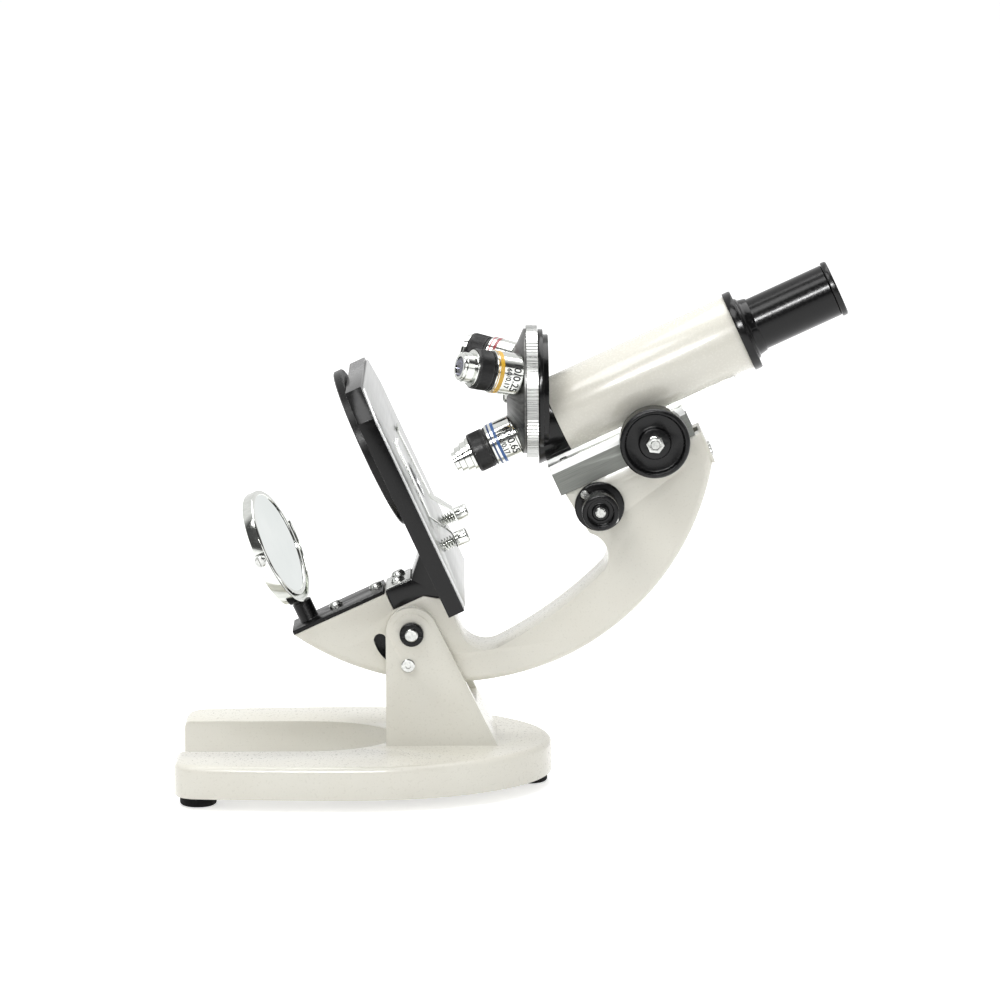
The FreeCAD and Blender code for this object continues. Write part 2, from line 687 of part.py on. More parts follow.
def end_plate():
    back = -d.head_back
    half = d.arm_thickness / 2 - d.end_plate_inset
    body = new_body("end_plate")
    sketch = new_sketch(body, "XY_Plane", d.head_top)
    outline(sketch, [(-d.seat_x, -half), (back, -half), (back, half), (-d.seat_x, half)])
    pad(body, sketch, d.end_plate_thickness)
    keep(body, ARM)
    middle_x = d.end_screw_inset - d.seat_x
    spread = d.arm_thickness / 2 - d.end_screw_from_edge
    return [ARM.multiply(at(middle_x, y, d.head_top + d.end_plate_thickness)) for y in (-spread, 0, spread)]


def flange_screw_places():
    spread = d.fine_flange_radius.value - d.flange_screw_from_edge.value
    places = []
    face = d.arm_thickness / 2 + d.fine_flange_thickness
    for way, side in ((TO_MINUS_Y, -1), (TO_Y, 1)):
        for angle in (25, 205):
            ray = math.radians(angle)
            x = -d.fine_x.value + spread * math.cos(ray)
            z = d.fine_z.value + spread * math.sin(ray)
            places.append(ARM.multiply(at(x, side * face.value, z)).multiply(way))
    return places


def small_screws(places):
    solids = []
    for i, place in enumerate(places):
        solids.append(screw(f"small_screw_{i}", d.small_screw_head, d.small_screw_radius,
                            d.small_screw_length, d.small_screw_head_height, place))
    group_of("small_screws", solids)


# ---------------------------------------------------------------- stage

stage_bottom = d.stage_top - d.stage_thickness
stage_plate_bottom = d.stage_top - d.stage_plate_thickness


def stage_plan(inset):
    front = -(d.stage_front - inset)
    rear = -(d.stage_rear + inset)
    half = d.stage_half_width - inset
    return [
        (rear, -half), (rear, half),
        (front + d.stage_chamfer_x, half), (front, half - d.stage_chamfer_y),
        (front, -(half - d.stage_chamfer_y)), (front + d.stage_chamfer_x, -half),
    ]


def stage_casting():
    body = new_body("stage_casting")
    plan = new_sketch(body, "XY_Plane", stage_bottom)
    outline(plan, stage_plan(0))
    pad(body, plan, d.stage_thickness - d.stage_plate_thickness)
    foot = new_sketch(body, "XZ_Plane")
    seat = -(d.seat_front + d.bracket_seat_gap)
    heel = -(d.stage_rear + 0.4)
    slope = -(d.shelf_front + d.bracket_slope_gap)
    outline(foot, [
        (-d.bracket_front, -d.bracket_foot), (seat, -d.bracket_foot), (seat, d.seat_rise),
        (slope, d.shelf_top), (heel, d.shelf_top + 0.2), (heel, stage_bottom + 1),
        (-d.bracket_reach, stage_bottom + 1), (-d.bracket_front, d.bracket_rise),
    ])
    pad(body, foot, d.bracket_width, symmetric=True)
    holes = new_sketch(body, "XY_Plane", stage_plate_bottom)
    circle(holes, -d.axis_x, 0, d.stage_aperture)
    for side in (-1, 1):
        circle(holes, -d.clip_post_x, d.clip_post_y * side, d.clip_post_radius)
    circle(holes, -d.disc_centre_x, 0, d.disc_pivot_radius - 0.6)
    pocket(body, holes, d.stage_thickness - d.stage_plate_thickness)
    keep(body, ARM)


def stage_plate():
    body = new_body("stage_plate")
    plan = new_sketch(body, "XY_Plane", stage_plate_bottom)
    outline(plan, stage_plan(d.stage_rim))
    pad(body, plan, d.stage_plate_thickness)
    holes = new_sketch(body, "XY_Plane", d.stage_top)
    circle(holes, -d.axis_x, 0, d.stage_aperture)
    for side in (-1, 1):
        circle(holes, -d.clip_post_x, d.clip_post_y * side, d.clip_post_radius)
    pocket(body, holes)
    keep(body, ARM)


def stage_strip():
    """The bright clamp strip on the front of the stage's foot, with its two screws."""
    back = -d.bracket_front
    front = back - d.strip_thickness
    low = d.strip_inset - d.bracket_foot
    high = d.bracket_rise - 0.2
    body = new_body("stage_strip")
    side = new_sketch(body, "XZ_Plane")
    outline(side, [(front, low), (back, low), (back, high), (front, high)])
    pad(body, side, d.bracket_width - d.strip_side_inset * 2, symmetric=True)
    keep(body, ARM)
    places = [at(front, d.strip_screw_y * side, d.strip_screw_z) for side in (-1, 1)]
    return [ARM.multiply(place).multiply(TO_MINUS_X) for place in places]


def bracket_screw_places():
    face = -(d.tail_front + d.mirror_plate_thickness)
    heights = (-d.bracket_screw_low, -d.bracket_screw_high)
    return [ARM.multiply(at(face, 0, z)).multiply(TO_MINUS_X) for z in heights]


def pan_screws(places):
    solids = []
    for i, place in enumerate(places):
        solids.append(screw(f"pan_screw_{i}", d.stage_screw_head, d.stage_screw_radius,
                            d.stage_screw_length, d.stage_screw_head_height, place))
    group_of("pan_screws", solids)


DISC_HOLES = (8.0, 6.0, 4.5, 3.0, 1.5)


def disc_diaphragm():
    """A five-hole disc under the stage; one hole stands on the optical axis."""
    top = stage_bottom - d.disc_gap
    bottom = top - d.disc_thickness
    edge = 0.5
    body = turned("disc_diaphragm", [
        (d.disc_pivot_radius + d.shaft_clearance, bottom), (d.disc_radius - edge, bottom),
        (d.disc_radius, bottom + edge), (d.disc_radius, top - edge), (d.disc_radius - edge, top),
        (d.disc_pivot_radius + d.shaft_clearance, top),
    ], ARM.multiply(at(-d.disc_centre_x, 0, 0)))
    reach = (d.disc_centre_x - d.axis_x).value
    holes = new_sketch(body, "XY_Plane", top)
    for i, radius in enumerate(DISC_HOLES):
        ray = 2 * math.pi * i / len(DISC_HOLES)
        circle(holes, reach * math.cos(ray), reach * math.sin(ray), radius)
    pocket(body, holes)
    head_top = bottom - 0.1
    head_low = head_top - d.disc_pivot_head_height
    turned("disc_pivot", [
        (0, head_low), (d.disc_pivot_head, head_low),
        (d.disc_pivot_head, head_top), (d.disc_pivot_radius, head_top),
        (d.disc_pivot_radius, stage_bottom), (d.disc_pivot_radius - 0.6, stage_bottom),
        (d.disc_pivot_radius - 0.6, stage_bottom + 6), (0, stage_bottom + 6),
    ], ARM.multiply(at(-d.disc_centre_x, 0, 0)))


def clip_place(side):
    return ARM.multiply(at(-d.clip_post_x, d.clip_post_y * side, 0)).multiply(
        turn(AXIS_Z, 180 + side * d.clip_turn.value))


def clip_leaf(name, side):
    """A spring-steel leaf: level round the post, sloping down, then flat on the stage."""
    low = d.stage_top + 0.05
    high = d.stage_top + d.clip_rise
    thick = d.clip_leaf_thickness
    back = 3.6
    start = 3.4
    curl = 2.0
    body = slab(name, [
        (-back, high), (start, high), (d.clip_bend, low), (d.clip_length - curl, low),
        (d.clip_length, low + 1.2), (d.clip_length - 0.3, low + 1.2 + thick),
        (d.clip_length - curl - 0.2, low + thick), (d.clip_bend + 0.3, low + thick),
        (start + 0.3, high + thick), (-back, high + thick),
    ], d.clip_leaf_width, clip_place(side))
    hole = new_sketch(body, "XY_Plane", high + thick)
    circle(hole, 0, 0, d.clip_post_radius + d.shaft_clearance)
    pocket(body, hole)


def clip_posts():
    posts = []
    springs = []
    high = d.stage_top + d.clip_rise + d.clip_leaf_thickness + 0.15
    edge = 0.7
    for name, side in (("near", -1), ("far", 1)):
        place = ARM.multiply(at(-d.clip_post_x, d.clip_post_y * side, 0))
        post = turned(f"clip_post_{name}", [
            (0, stage_bottom), (d.clip_post_radius, stage_bottom), (d.clip_post_radius, high),
            (d.clip_cap_radius, high), (d.clip_cap_radius, high + d.clip_cap_height - edge),
            (d.clip_cap_radius - edge, high + d.clip_cap_height), (0, high + d.clip_cap_height),
        ], None, keep_it=False)
        post.Placement = place
        posts.append(post)
        springs.append(coil(f"clip_spring_{name}", place))
    group_of("clip_posts", posts)
    group_of("clip_springs", springs)


def coil(label, place):
    """A compression spring round a clip post, under the leaf."""
    wire = d.clip_spring_wire.value
    radius = d.clip_spring_radius.value
    length = d.clip_rise.value - 2 * wire - 0.4
    per_turn = 12
    count = int(d.clip_spring_turns.value * per_turn)
    points = []
    for i in range(count + 1):
        angle = 2 * math.pi * i / per_turn
        points.append(Vector(radius * math.cos(angle), radius * math.sin(angle), length * i / count))
    route = Part.BSplineCurve()
    route.interpolate(points)
    section = Part.Wire(Part.makeCircle(wire, points[0], route.tangent(route.FirstParameter)[0]))
    spring = Part.Wire(route.toShape()).makePipeShell([section], True, True)
    feature = doc.addObject("Part::Feature", label)
    feature.Shape = spring
    feature.Placement = place.multiply(at(0, 0, d.stage_top + wire + 0.1))
    return feature


# ---------------------------------------------------------------- substage mirror

def mirror_bracket():
    """A black plate on the front of the arm's tail, with the socket that takes the fork's stem."""
    face = -(d.tail_front + d.mirror_plate_thickness)
    low = 0.3 - d.tail_bottom
    high = -(d.tail_top + 0.5)
    plate = slab("mirror_plate", [
        (face, low), (-d.tail_front, low), (-d.tail_front, high), (face, high),
    ], d.mirror_plate_width, None, keep_it=False)
    root = at(-d.tail_front, 0, -d.mirror_drop).multiply(TO_MINUS_X)
    boss = cylinder("mirror_socket", d.socket_radius, d.mirror_plate_thickness + d.socket_length, root)
    whole = together("mirror_bracket_solid", [plate, boss])
    bore = cylinder("mirror_socket_bore", d.stem_radius + d.shaft_clearance, d.socket_length,
                    root.multiply(at(0, 0, d.mirror_plate_thickness + 0.01)))
    result = cut("mirror_bracket", whole, [bore])
    result.Placement = ARM


fork_inner = d.mirror_cell_radius + d.fork_gap
fork_outer = fork_inner + d.fork_thickness
MIRROR = ARM.multiply(at(-d.axis_x, 0, -d.mirror_drop)).multiply(turn(AXIS_X, d.mirror_swivel.value))


def mirror_fork():
    """A half ring of strip with a stem; it carries the mirror between two screws."""
    body = new_body("mirror_fork")
    half = new_sketch(body, "XY_Plane", -d.fork_width / 2)
    arms = 3.2
    outer = number(fork_outer)
    inner = number(fork_inner)
    outline(half, [
        (-arms, -outer), (0, -outer), (outer, 0, outer), (0, outer, outer), (-arms, outer),
        (-arms, inner), (0, inner), (inner, 0, -inner), (0, -inner, -inner), (-arms, -inner),
    ])
    pad(body, half, d.fork_width)
    holes = new_sketch(body, "XZ_Plane")
    circle(holes, 0, 0, d.trunnion_radius)
    pocket(body, holes, fork_outer * 4, symmetric=True)
    stem_end = d.axis_x - d.tail_front - d.mirror_plate_thickness - 0.4
    stem = new_sketch(body, "YZ_Plane", fork_inner + 0.3)
    circle(stem, 0, 0, d.stem_radius)
    pad(body, stem, stem_end - fork_inner - 0.3)
    keep(body, MIRROR)


def trunnion_screws():
    solids = []
    for name, way in (("near", TO_MINUS_Y), ("far", TO_Y)):
        length = d.fork_gap + d.fork_thickness + 1.6
        place = MIRROR.multiply(way).multiply(at(0, 0, fork_outer))
        solids.append(screw(f"trunnion_{name}", d.trunnion_head, d.trunnion_radius, length,
                            d.trunnion_head_height, place))
    group_of("trunnion_screws", solids)


def mirror():
    """A shallow chrome cell with a plane glass on one face and a concave one on the other."""
    half = d.mirror_cell_height / 2
    rim = 0.5
    lip = 0.5
    glass = d.mirror_glass_thickness
    seat = d.mirror_glass_radius + 0.05
    cell = turned("mirror_cell", [
        (d.mirror_glass_radius - 2, half - lip - glass), (seat, half - lip - glass), (seat, half - lip),
        (seat - 0.6, half - lip), (seat - 0.3, half), (d.mirror_cell_radius - rim, half),
        (d.mirror_cell_radius, half - rim),
        (d.mirror_cell_radius, -(half - rim)), (d.mirror_cell_radius - rim, -half), (seat - 0.3, -half),
        (seat - 0.6, -(half - lip)), (seat, -(half - lip)), (seat, -(half - lip - glass)),
        (d.mirror_glass_radius - 2, -(half - lip - glass)),
    ], MIRROR)
    holes = new_sketch(cell, "XZ_Plane")
    circle(holes, 0, 0, d.trunnion_radius + d.shaft_clearance)
    pocket(cell, holes, d.mirror_cell_radius * 4, symmetric=True)
    turned("plane_mirror", [
        (0, half - lip - glass), (d.mirror_glass_radius, half - lip - glass),
        (d.mirror_glass_radius, half - lip), (0, half - lip),
    ], MIRROR)
    face = -(half - lip).value
    dish = 1.2
    edge = d.mirror_glass_radius.value
    sphere = (edge * edge + dish * dish) / (2 * dish)
    turned("concave_mirror", [
        (0, face + glass.value), (0, face + dish), (d.mirror_glass_radius, face, -sphere),
        (d.mirror_glass_radius, face + glass.value),
    ], MIRROR)


# ---------------------------------------------------------------- guide and fine focus

guide_back = d.seat_x + d.guide_back_gap
gib_back = d.guide_front - d.gib_thickness
pitch_radius = d.tooth_module.value * d.pinion_teeth.value / 2
rack_line = d.coarse_x + pitch_radius
rack_tip = rack_line - d.rack_addendum
rack_back = rack_tip + d.rack_depth


def guide_block():
    """The dark block that carries the rack motion; a dovetail on its back slides in the head."""
    body = new_body("guide_block")
    slot_bottom = d.coarse_x - pitch_radius - 0.9
    half = d.guide_half_width
    plan = new_sketch(body, "XY_Plane", d.guide_bottom)
    outline(plan, [
        (-gib_back, -half), (-guide_back, -half), (-guide_back, half), (-gib_back, half),
        (-gib_back, d.slot_half), (-slot_bottom, d.slot_half),
        (-slot_bottom, -d.slot_half), (-gib_back, -d.slot_half),
    ])
    pad(body, plan, d.guide_top - d.guide_bottom)
    rail_bottom = d.fine_z + d.rail_above_cam
    rail = new_sketch(body, "XY_Plane", rail_bottom)
    back = -(d.seat_x - d.rail_depth)
    outline(rail, [
        (-(guide_back + 0.5), -d.rail_half_front), (-d.seat_x, -d.rail_half_front), (back, -d.rail_half_back),
        (back, d.rail_half_back), (-d.seat_x, d.rail_half_front), (-(guide_back + 0.5), d.rail_half_front),
    ])
    pad(body, rail, d.guide_top - rail_bottom - 1)
    bore = new_sketch(body, "XZ_Plane")
    circle(bore, -d.coarse_x, d.coarse_z, d.coarse_shaft_radius + d.shaft_clearance)
    pocket(body, bore, half * 4, symmetric=True)
    keep(body, ARM)


def guide_gibs():
    """Two bright strips on the block's front; their inner edges hold the tube's dovetail."""
    strips = []
    play = d.slide_clearance + 0.04
    neck = d.guide_front - 0.4
    for name, side in (("near", -1), ("far", 1)):
        body = new_body(f"gib_{name}")
        plan = new_sketch(body, "XY_Plane", d.guide_bottom)
        outline(plan, [
            (-d.guide_front, side * (d.slide_half_front + play)), (-neck, side * (d.slide_half_front + play)),
            (-d.slide_back + 0.1, side * (d.slide_half_back + play)),
            (-gib_back, side * (d.slide_half_back + play)), (-gib_back, side * d.guide_half_width),
            (-d.guide_front, side * d.guide_half_width),
        ])
        pad(body, plan, d.guide_top - d.guide_bottom)
        body.Placement = ARM
        strips.append(body)
    group_of("guide_gibs", strips)


def guide_screws():
    """Two screws hold each gib on the block, through its front."""
    solids = []
    places = []
    across = d.guide_half_width.value - d.gib_screw_from_side.value
    for side in (-1, 1):
        for z in (d.guide_bottom + d.gib_screw_from_end, d.guide_top - d.gib_screw_from_end):
            place = ARM.multiply(at(-d.guide_front, side * across, z)).multiply(TO_MINUS_X)
            places.append(place)
            solids.append(screw(f"gib_screw_{len(places)}", d.gib_screw_head, d.gib_screw_radius,
                                d.gib_screw_length, d.gib_screw_head_height, place))
    group_of("gib_screws", solids)
    return places


def fine_follower():
    """A tongue on the block's back; its nub rides on the snail cam."""
    rest = d.fine_z + d.cam_radius + d.cam_gap
    nub = 1.0
    rise = 2.6
    slab("fine_follower", [
        (-guide_back, rest + rise), (-guide_back, rest + rise + 4), (-d.fine_x + 3.5, rest + rise + 4),
        (-d.fine_x + 3.5, rest + rise), (-d.fine_x + nub, rest + rise), (-d.fine_x + nub, rest),
        (-d.fine_x - nub, rest), (-d.fine_x - nub, rest + rise),
    ], d.follower_half * 2, ARM)


def fine_shaft():
    """A shaft with a snail cam: its radius grows evenly with the angle, so lift follows turn."""
    reach = d.arm_thickness / 2 + d.fine_flange_thickness + d.fine_knob_gap + d.fine_knob_length - 2.5
    sweep = math.radians(d.cam_turn.value)
    points = []
    steps = 40
    for i in range(steps + 1):
        angle = sweep * (2 * i / steps - 1)
        radius = d.cam_radius.value + d.cam_lift.value * angle / sweep
        points.append(Vector(radius * math.sin(angle), -d.cam_width.value / 2, radius * math.cos(angle)))
    rim = Part.BSplineCurve()
    rim.interpolate(points)
    edges = [rim.toShape(), Part.LineSegment(points[-1], points[0]).toShape()]
    cam = Part.Face(Part.Wire(edges)).extrude(Vector(0, d.cam_width.value, 0))
    rod = Part.makeCylinder(d.fine_shaft_radius.value, 2 * reach.value, Vector(0, -reach.value, 0), AXIS_Y)
    made_in_code("fine_cam_shaft", cam.fuse(rod).removeSplitter(), ARM.multiply(at(-d.fine_x, 0, d.fine_z)))


def both_sides(label, points, centre):
    """The same lathe piece on the near and the far side of the arm; heights run outwards."""
    solids = []
    for name, way in (("near", TO_MINUS_Y), ("far", TO_Y)):
        piece = turned(f"{label}_{name}", points, None, keep_it=False)
        piece.Placement = ARM.multiply(centre).multiply(way)
        solids.append(piece)
    group_of(label, solids)


def fine_knobs():
    centre = at(-d.fine_x, 0, d.fine_z)
    side = d.arm_thickness / 2
    face = side + d.fine_flange_thickness
    edge = 0.6
    bore = d.fine_shaft_radius + d.shaft_clearance
    both_sides("fine_flanges", [
        (bore, side), (d.fine_flange_radius, side), (d.fine_flange_radius, face - edge),
        (d.fine_flange_radius - edge, face), (bore, face),
    ], centre)
    inner = face + d.fine_knob_gap
    outer = inner + d.fine_knob_length
    knob = d.fine_knob_radius
    seat = d.fine_shaft_radius + d.seat_gap
    thread = 1.2 + d.seat_gap
    both_sides("fine_knobs", [
        (seat, inner), (knob - edge, inner), (knob, inner + edge), (knob, outer - edge),
        (knob - edge, outer), (knob - 2.2, outer), (knob - 2.6, outer - 2), (4.0, outer - 2),
        (3.6, outer - 1.2), (thread, outer - 1.2), (thread, outer - 2.4), (seat, outer - 2.4),
    ], centre)
    solids = []
    for name, way in (("near", TO_MINUS_Y), ("far", TO_Y)):
        place = ARM.multiply(centre).multiply(way).multiply(at(0, 0, outer - 1.2))
        solids.append(screw(f"fine_knob_screw_{name}", 2.4, 1.2, 1.1, 1.0, place))
    group_of("fine_knob_screws", solids)


# ---------------------------------------------------------------- coarse focus

def involute(angle):
    return math.tan(angle) - angle


def pinion_shaft():
    """Shaft and pinion in one piece; a tooth space faces the rack at rest."""
    teeth = int(d.pinion_teeth.value)
    module = d.tooth_module.value
    pressure = math.radians(20)
    base_radius = pitch_radius * math.cos(pressure)
    root = pitch_radius - 1.2 * module
    tip = pitch_radius + module
    half_pitch = math.pi / (2 * teeth) - d.tooth_backlash.value / (2 * pitch_radius)
    profile = []
    steps = 4
    for i in range(steps + 1):
        radius = base_radius + (tip - base_radius) * i / steps
        flank = math.acos(base_radius / radius)
        profile.append((radius, half_pitch + involute(pressure) - involute(flank)))
    left = [(root, profile[0][1])] + profile
    points = []
    for tooth in range(teeth):
        middle = 2 * math.pi * (tooth + 0.5) / teeth
        for radius, half in left:
            points.append((radius, middle - half))
        for radius, half in reversed(left):
            points.append((radius, middle + half))
    width = d.pinion_width.value
    corners = [Vector(-r * math.cos(a), -width / 2, r * math.sin(a)) for r, a in points]
    face = Part.Face(Part.makePolygon(corners + corners[:1]))
    gear = face.extrude(Vector(0, width, 0))
    reach = d.coarse_knob_outer.value - 1.5
    stud = 1.9
    stud_reach = d.coarse_knob_outer.value + d.coarse_nut_height.value + 0.4
    rod = Part.makeCylinder(d.coarse_shaft_radius.value, 2 * reach, Vector(0, -reach, 0), AXIS_Y)
    studs = Part.makeCylinder(stud, 2 * stud_reach, Vector(0, -stud_reach, 0), AXIS_Y)
    place = ARM.multiply(at(-d.coarse_x, 0, d.coarse_z))
    made_in_code("coarse_pinion_shaft", gear.fuse([rod, studs]).removeSplitter(), place)


def coarse_knobs():
    centre = at(-d.coarse_x, 0, d.coarse_z)
    inner = d.coarse_knob_inner
    outer = d.coarse_knob_outer
    knob = d.coarse_knob_radius
    shaft = d.coarse_shaft_radius + d.seat_gap
    hub = 7.0
    stud = 1.95
    both_sides("coarse_knobs", [
        (shaft, inner), (knob - 2, inner), (knob, inner + 1.2), (knob, outer - 1), (knob - 0.8, outer),
        (knob - 2.2, outer), (knob - 3.0, outer - 2.4), (hub + 0.6, outer - 2.4), (hub, outer - 0.4),
        (stud, outer - 0.4), (stud, outer - 1.5), (shaft, outer - 1.5),
    ], centre)
    nuts = []
    corner = d.coarse_nut_flat / math.cos(math.radians(30))
    for name, way in (("near", TO_MINUS_Y), ("far", TO_Y)):
        body = new_body(f"knob_nut_{name}")
        plan = new_sketch(body, "XY_Plane", outer - 0.4)
        hexagon = [(corner * math.cos(math.radians(60 * i)), corner * math.sin(math.radians(60 * i)))
                   for i in range(6)]
        outline(plan, hexagon)
        circle(plan, 0, 0, stud)
        pad(body, plan, d.coarse_nut_height)
        body.Placement = ARM.multiply(centre).multiply(way)
        nuts.append(body)
    group_of("coarse_knob_nuts", nuts)


def rack():
    """A toothed strip let into the back of the tube's slide; at rest a tooth faces the shaft."""
    module = d.tooth_module.value
    pitch = math.pi * module
    tilt = math.tan(math.radians(20))
    tip_x = -rack_tip.value
    line_x = -rack_line.value
    root_x = line_x - 1.25 * module
    back_x = -rack_back.value
    low = d.guide_bottom.value + 2
    high = d.slide_top.value - 5
    count = int((high - low) / pitch) - 1
    first = 1 - int((d.coarse_z.value - low) / pitch)
    half_at_line = pitch / 4
    half_tip = half_at_line - (tip_x - line_x) * tilt
    half_root = half_at_line + (line_x - root_x) * tilt
    points = [Vector(back_x, 0, low), Vector(root_x, 0, low)]
    for i in range(count):
        middle = d.coarse_z.value + (first + i) * pitch
        points.append(Vector(root_x, 0, middle - half_root))
        points.append(Vector(tip_x, 0, middle - half_tip))
        points.append(Vector(tip_x, 0, middle + half_tip))
        points.append(Vector(root_x, 0, middle + half_root))
    points.append(Vector(root_x, 0, high))
    points.append(Vector(back_x, 0, high))
    strip = Part.Face(Part.makePolygon(points + points[:1]))
    half = d.rack_half.value
    strip.translate(Vector(0, -half, 0))
    made_in_code("rack", strip.extrude(Vector(0, 2 * half, 0)), ARM)


# ---------------------------------------------------------------- tube

def tube_slide():
    """The dovetail bar on the back of the tube, hollowed to the tube's round."""
    saddle = d.axis_x - d.tube_radius + 2.8
    neck = d.guide_front - 0.4
    bar = new_body("slide_bar")
    plan = new_sketch(bar, "XY_Plane", d.guide_bottom)
    outline(plan, [
        (-saddle, -d.slide_half_front), (-neck, -d.slide_half_front), (-d.slide_back, -d.slide_half_back),
        (-d.slide_back, -d.rack_half), (-rack_back, -d.rack_half), (-rack_back, d.rack_half),
        (-d.slide_back, d.rack_half), (-d.slide_back, d.slide_half_back),
        (-neck, d.slide_half_front), (-saddle, d.slide_half_front),
    ])
    pad(bar, plan, d.slide_top - d.guide_bottom)
    hollow = cylinder("slide_hollow", d.tube_radius + d.seat_gap, d.slide_top, at(-d.axis_x, 0, 1))
    result = cut("tube_slide", bar, [hollow])
    result.Placement = ARM


def below_nose_plate(label, lift):
    """A block that fills everything on the objective side of a plane across the nosepiece axis."""
    size = 200
    place = NOSE.multiply(at(-size / 2, -size / 2, lift))
    return box(label, size, size, size, place)


nose_plate_back = d.nose_gap + d.nose_plate_thickness + d.nose_back_thickness


def body_tube():
    inner = d.tube_radius - d.tube_wall
    low = d.tube_bottom
    tube = turned("tube_blank", [
        (inner, low), (d.tube_radius, low), (d.tube_radius, d.tube_top), (inner, d.tube_top),
    ], None, keep_it=False)
    tube.Placement = TUBE
    cut("body_tube", tube, [below_nose_plate("tube_mitre", -nose_plate_back)])


def nosepiece_mount():
    """The fixed black plate and its stub, which plugs into the tube at the nosepiece's angle."""
    gap = -d.nose_gap
    step = gap - d.nose_plate_thickness
    plate = turned("mount_plate", [
        (0, -nose_plate_back), (d.nose_back_radius, -nose_plate_back), (d.nose_back_radius, step),
        (d.nose_plate_radius, step), (d.nose_plate_radius, gap), (0, gap),
    ], None, keep_it=False)
    plate.Placement = NOSE
    stub_low = d.tube_bottom - 18
    low_place = TUBE.multiply(at(0, 0, stub_low))
    stub = cylinder("mount_stub", d.tube_radius - 0.8, d.tube_bottom - stub_low, low_place)
    plug = cylinder("mount_plug", d.tube_radius - d.tube_wall - 0.05, 30, low_place)
    whole = together("mount_solid", [plate, stub, plug])
    front = below_nose_plate("mount_front", -d.nose_gap)
    light = cylinder("mount_light", d.light_bore, 80, TUBE.multiply(at(0, 0, stub_low - 5)))
    thread = cylinder("mount_thread", d.nose_screw_radius, 20, NOSE.multiply(at(0, 0, -4)))
    cut("nosepiece_mount", whole, [front, light, thread])


def top_fittings():
    top = d.tube_top + d.top_flange_height
    plug = d.tube_radius - d.tube_wall - 0.05
    seat = d.drawtube_radius + 0.02
    edge = 0.5
    turned("tube_flange", [
        (seat, d.tube_top - 8), (plug, d.tube_top - 8), (plug, d.tube_top), (d.top_flange_radius, d.tube_top),
        (d.top_flange_radius, top - edge), (d.top_flange_radius - edge, top), (d.collar_radius + 0.8, top),
        (d.collar_radius - 0.6, top + 1.4, 2.0), (seat + 0.5, d.collar_top), (seat, d.collar_top),
    ], TUBE)
    bore = d.drawtube_bore
    turned("drawtube", [
        (bore, d.tube_top - 8), (d.drawtube_radius, d.tube_top - 8),
        (d.drawtube_radius, d.drawtube_top - 0.4), (d.drawtube_radius - 0.4, d.drawtube_top),
        (bore, d.drawtube_top),
    ], TUBE)


def eyepiece():
    outer = d.drawtube_bore - d.eyepiece_clearance
    inner = outer - d.eyepiece_wall
    low = d.drawtube_top - d.eyepiece_depth
    cap = d.drawtube_top + 0.1
    rim = d.eyepiece_rim_radius
    hole = 5.5
    turned("eyepiece_barrel", [
        (inner - 1.6, low), (outer, low), (outer, cap), (rim - 0.3, cap), (rim, cap + 0.3),
        (rim, d.eyepiece_top - 0.6), (rim - 0.6, d.eyepiece_top), (rim - 1.6, d.eyepiece_top),
        (hole + 0.8, d.eyepiece_top - 1.4), (hole, d.eyepiece_top - 1.9), (hole, cap - 1.2),
        (inner, cap - 1.2), (inner, low + 1.6), (inner - 1.6, low + 1.6),
    ], TUBE)
    lenses = []
    radius = inner - 0.1
    for name, bottom, thick in (("eye", cap - 5.3, 4.0), ("field", low + 1.7, 3.4)):
        bulge = 1.1
        edge = radius.value
        sphere = (edge * edge + bulge * bulge) / (2 * bulge)
        lens = turned(f"{name}_lens", [
            (0, bottom), (radius, bottom), (radius, bottom + thick - bulge), (0, bottom + thick, sphere),
        ], None, keep_it=False)
        lens.Placement = TUBE
        lenses.append(lens)
    group_of("eyepiece_lenses", lenses)


# ---------------------------------------------------------------- nosepiece

nose_angle = math.radians(d.nose_tilt.value)
seat_distance = (d.nose_reach.value + d.seat_depth.value) / math.cos(nose_angle)


def dome_height(radius):
    """Height of the dome's cone at a radius; its slope is square to each objective's axis."""
    return (seat_distance - number(radius) * math.sin(nose_angle)) / math.cos(nose_angle) - d.nose_reach.value


def objective_place(index):
    return NOSE_CROSS.multiply(turn(AXIS_Y, 180 + d.nose_tilt.value)).multiply(
        turn(AXIS_Z, 120 * index)).multiply(turn(AXIS_Y, -d.nose_tilt.value)).multiply(at(0, 0, seat_distance))


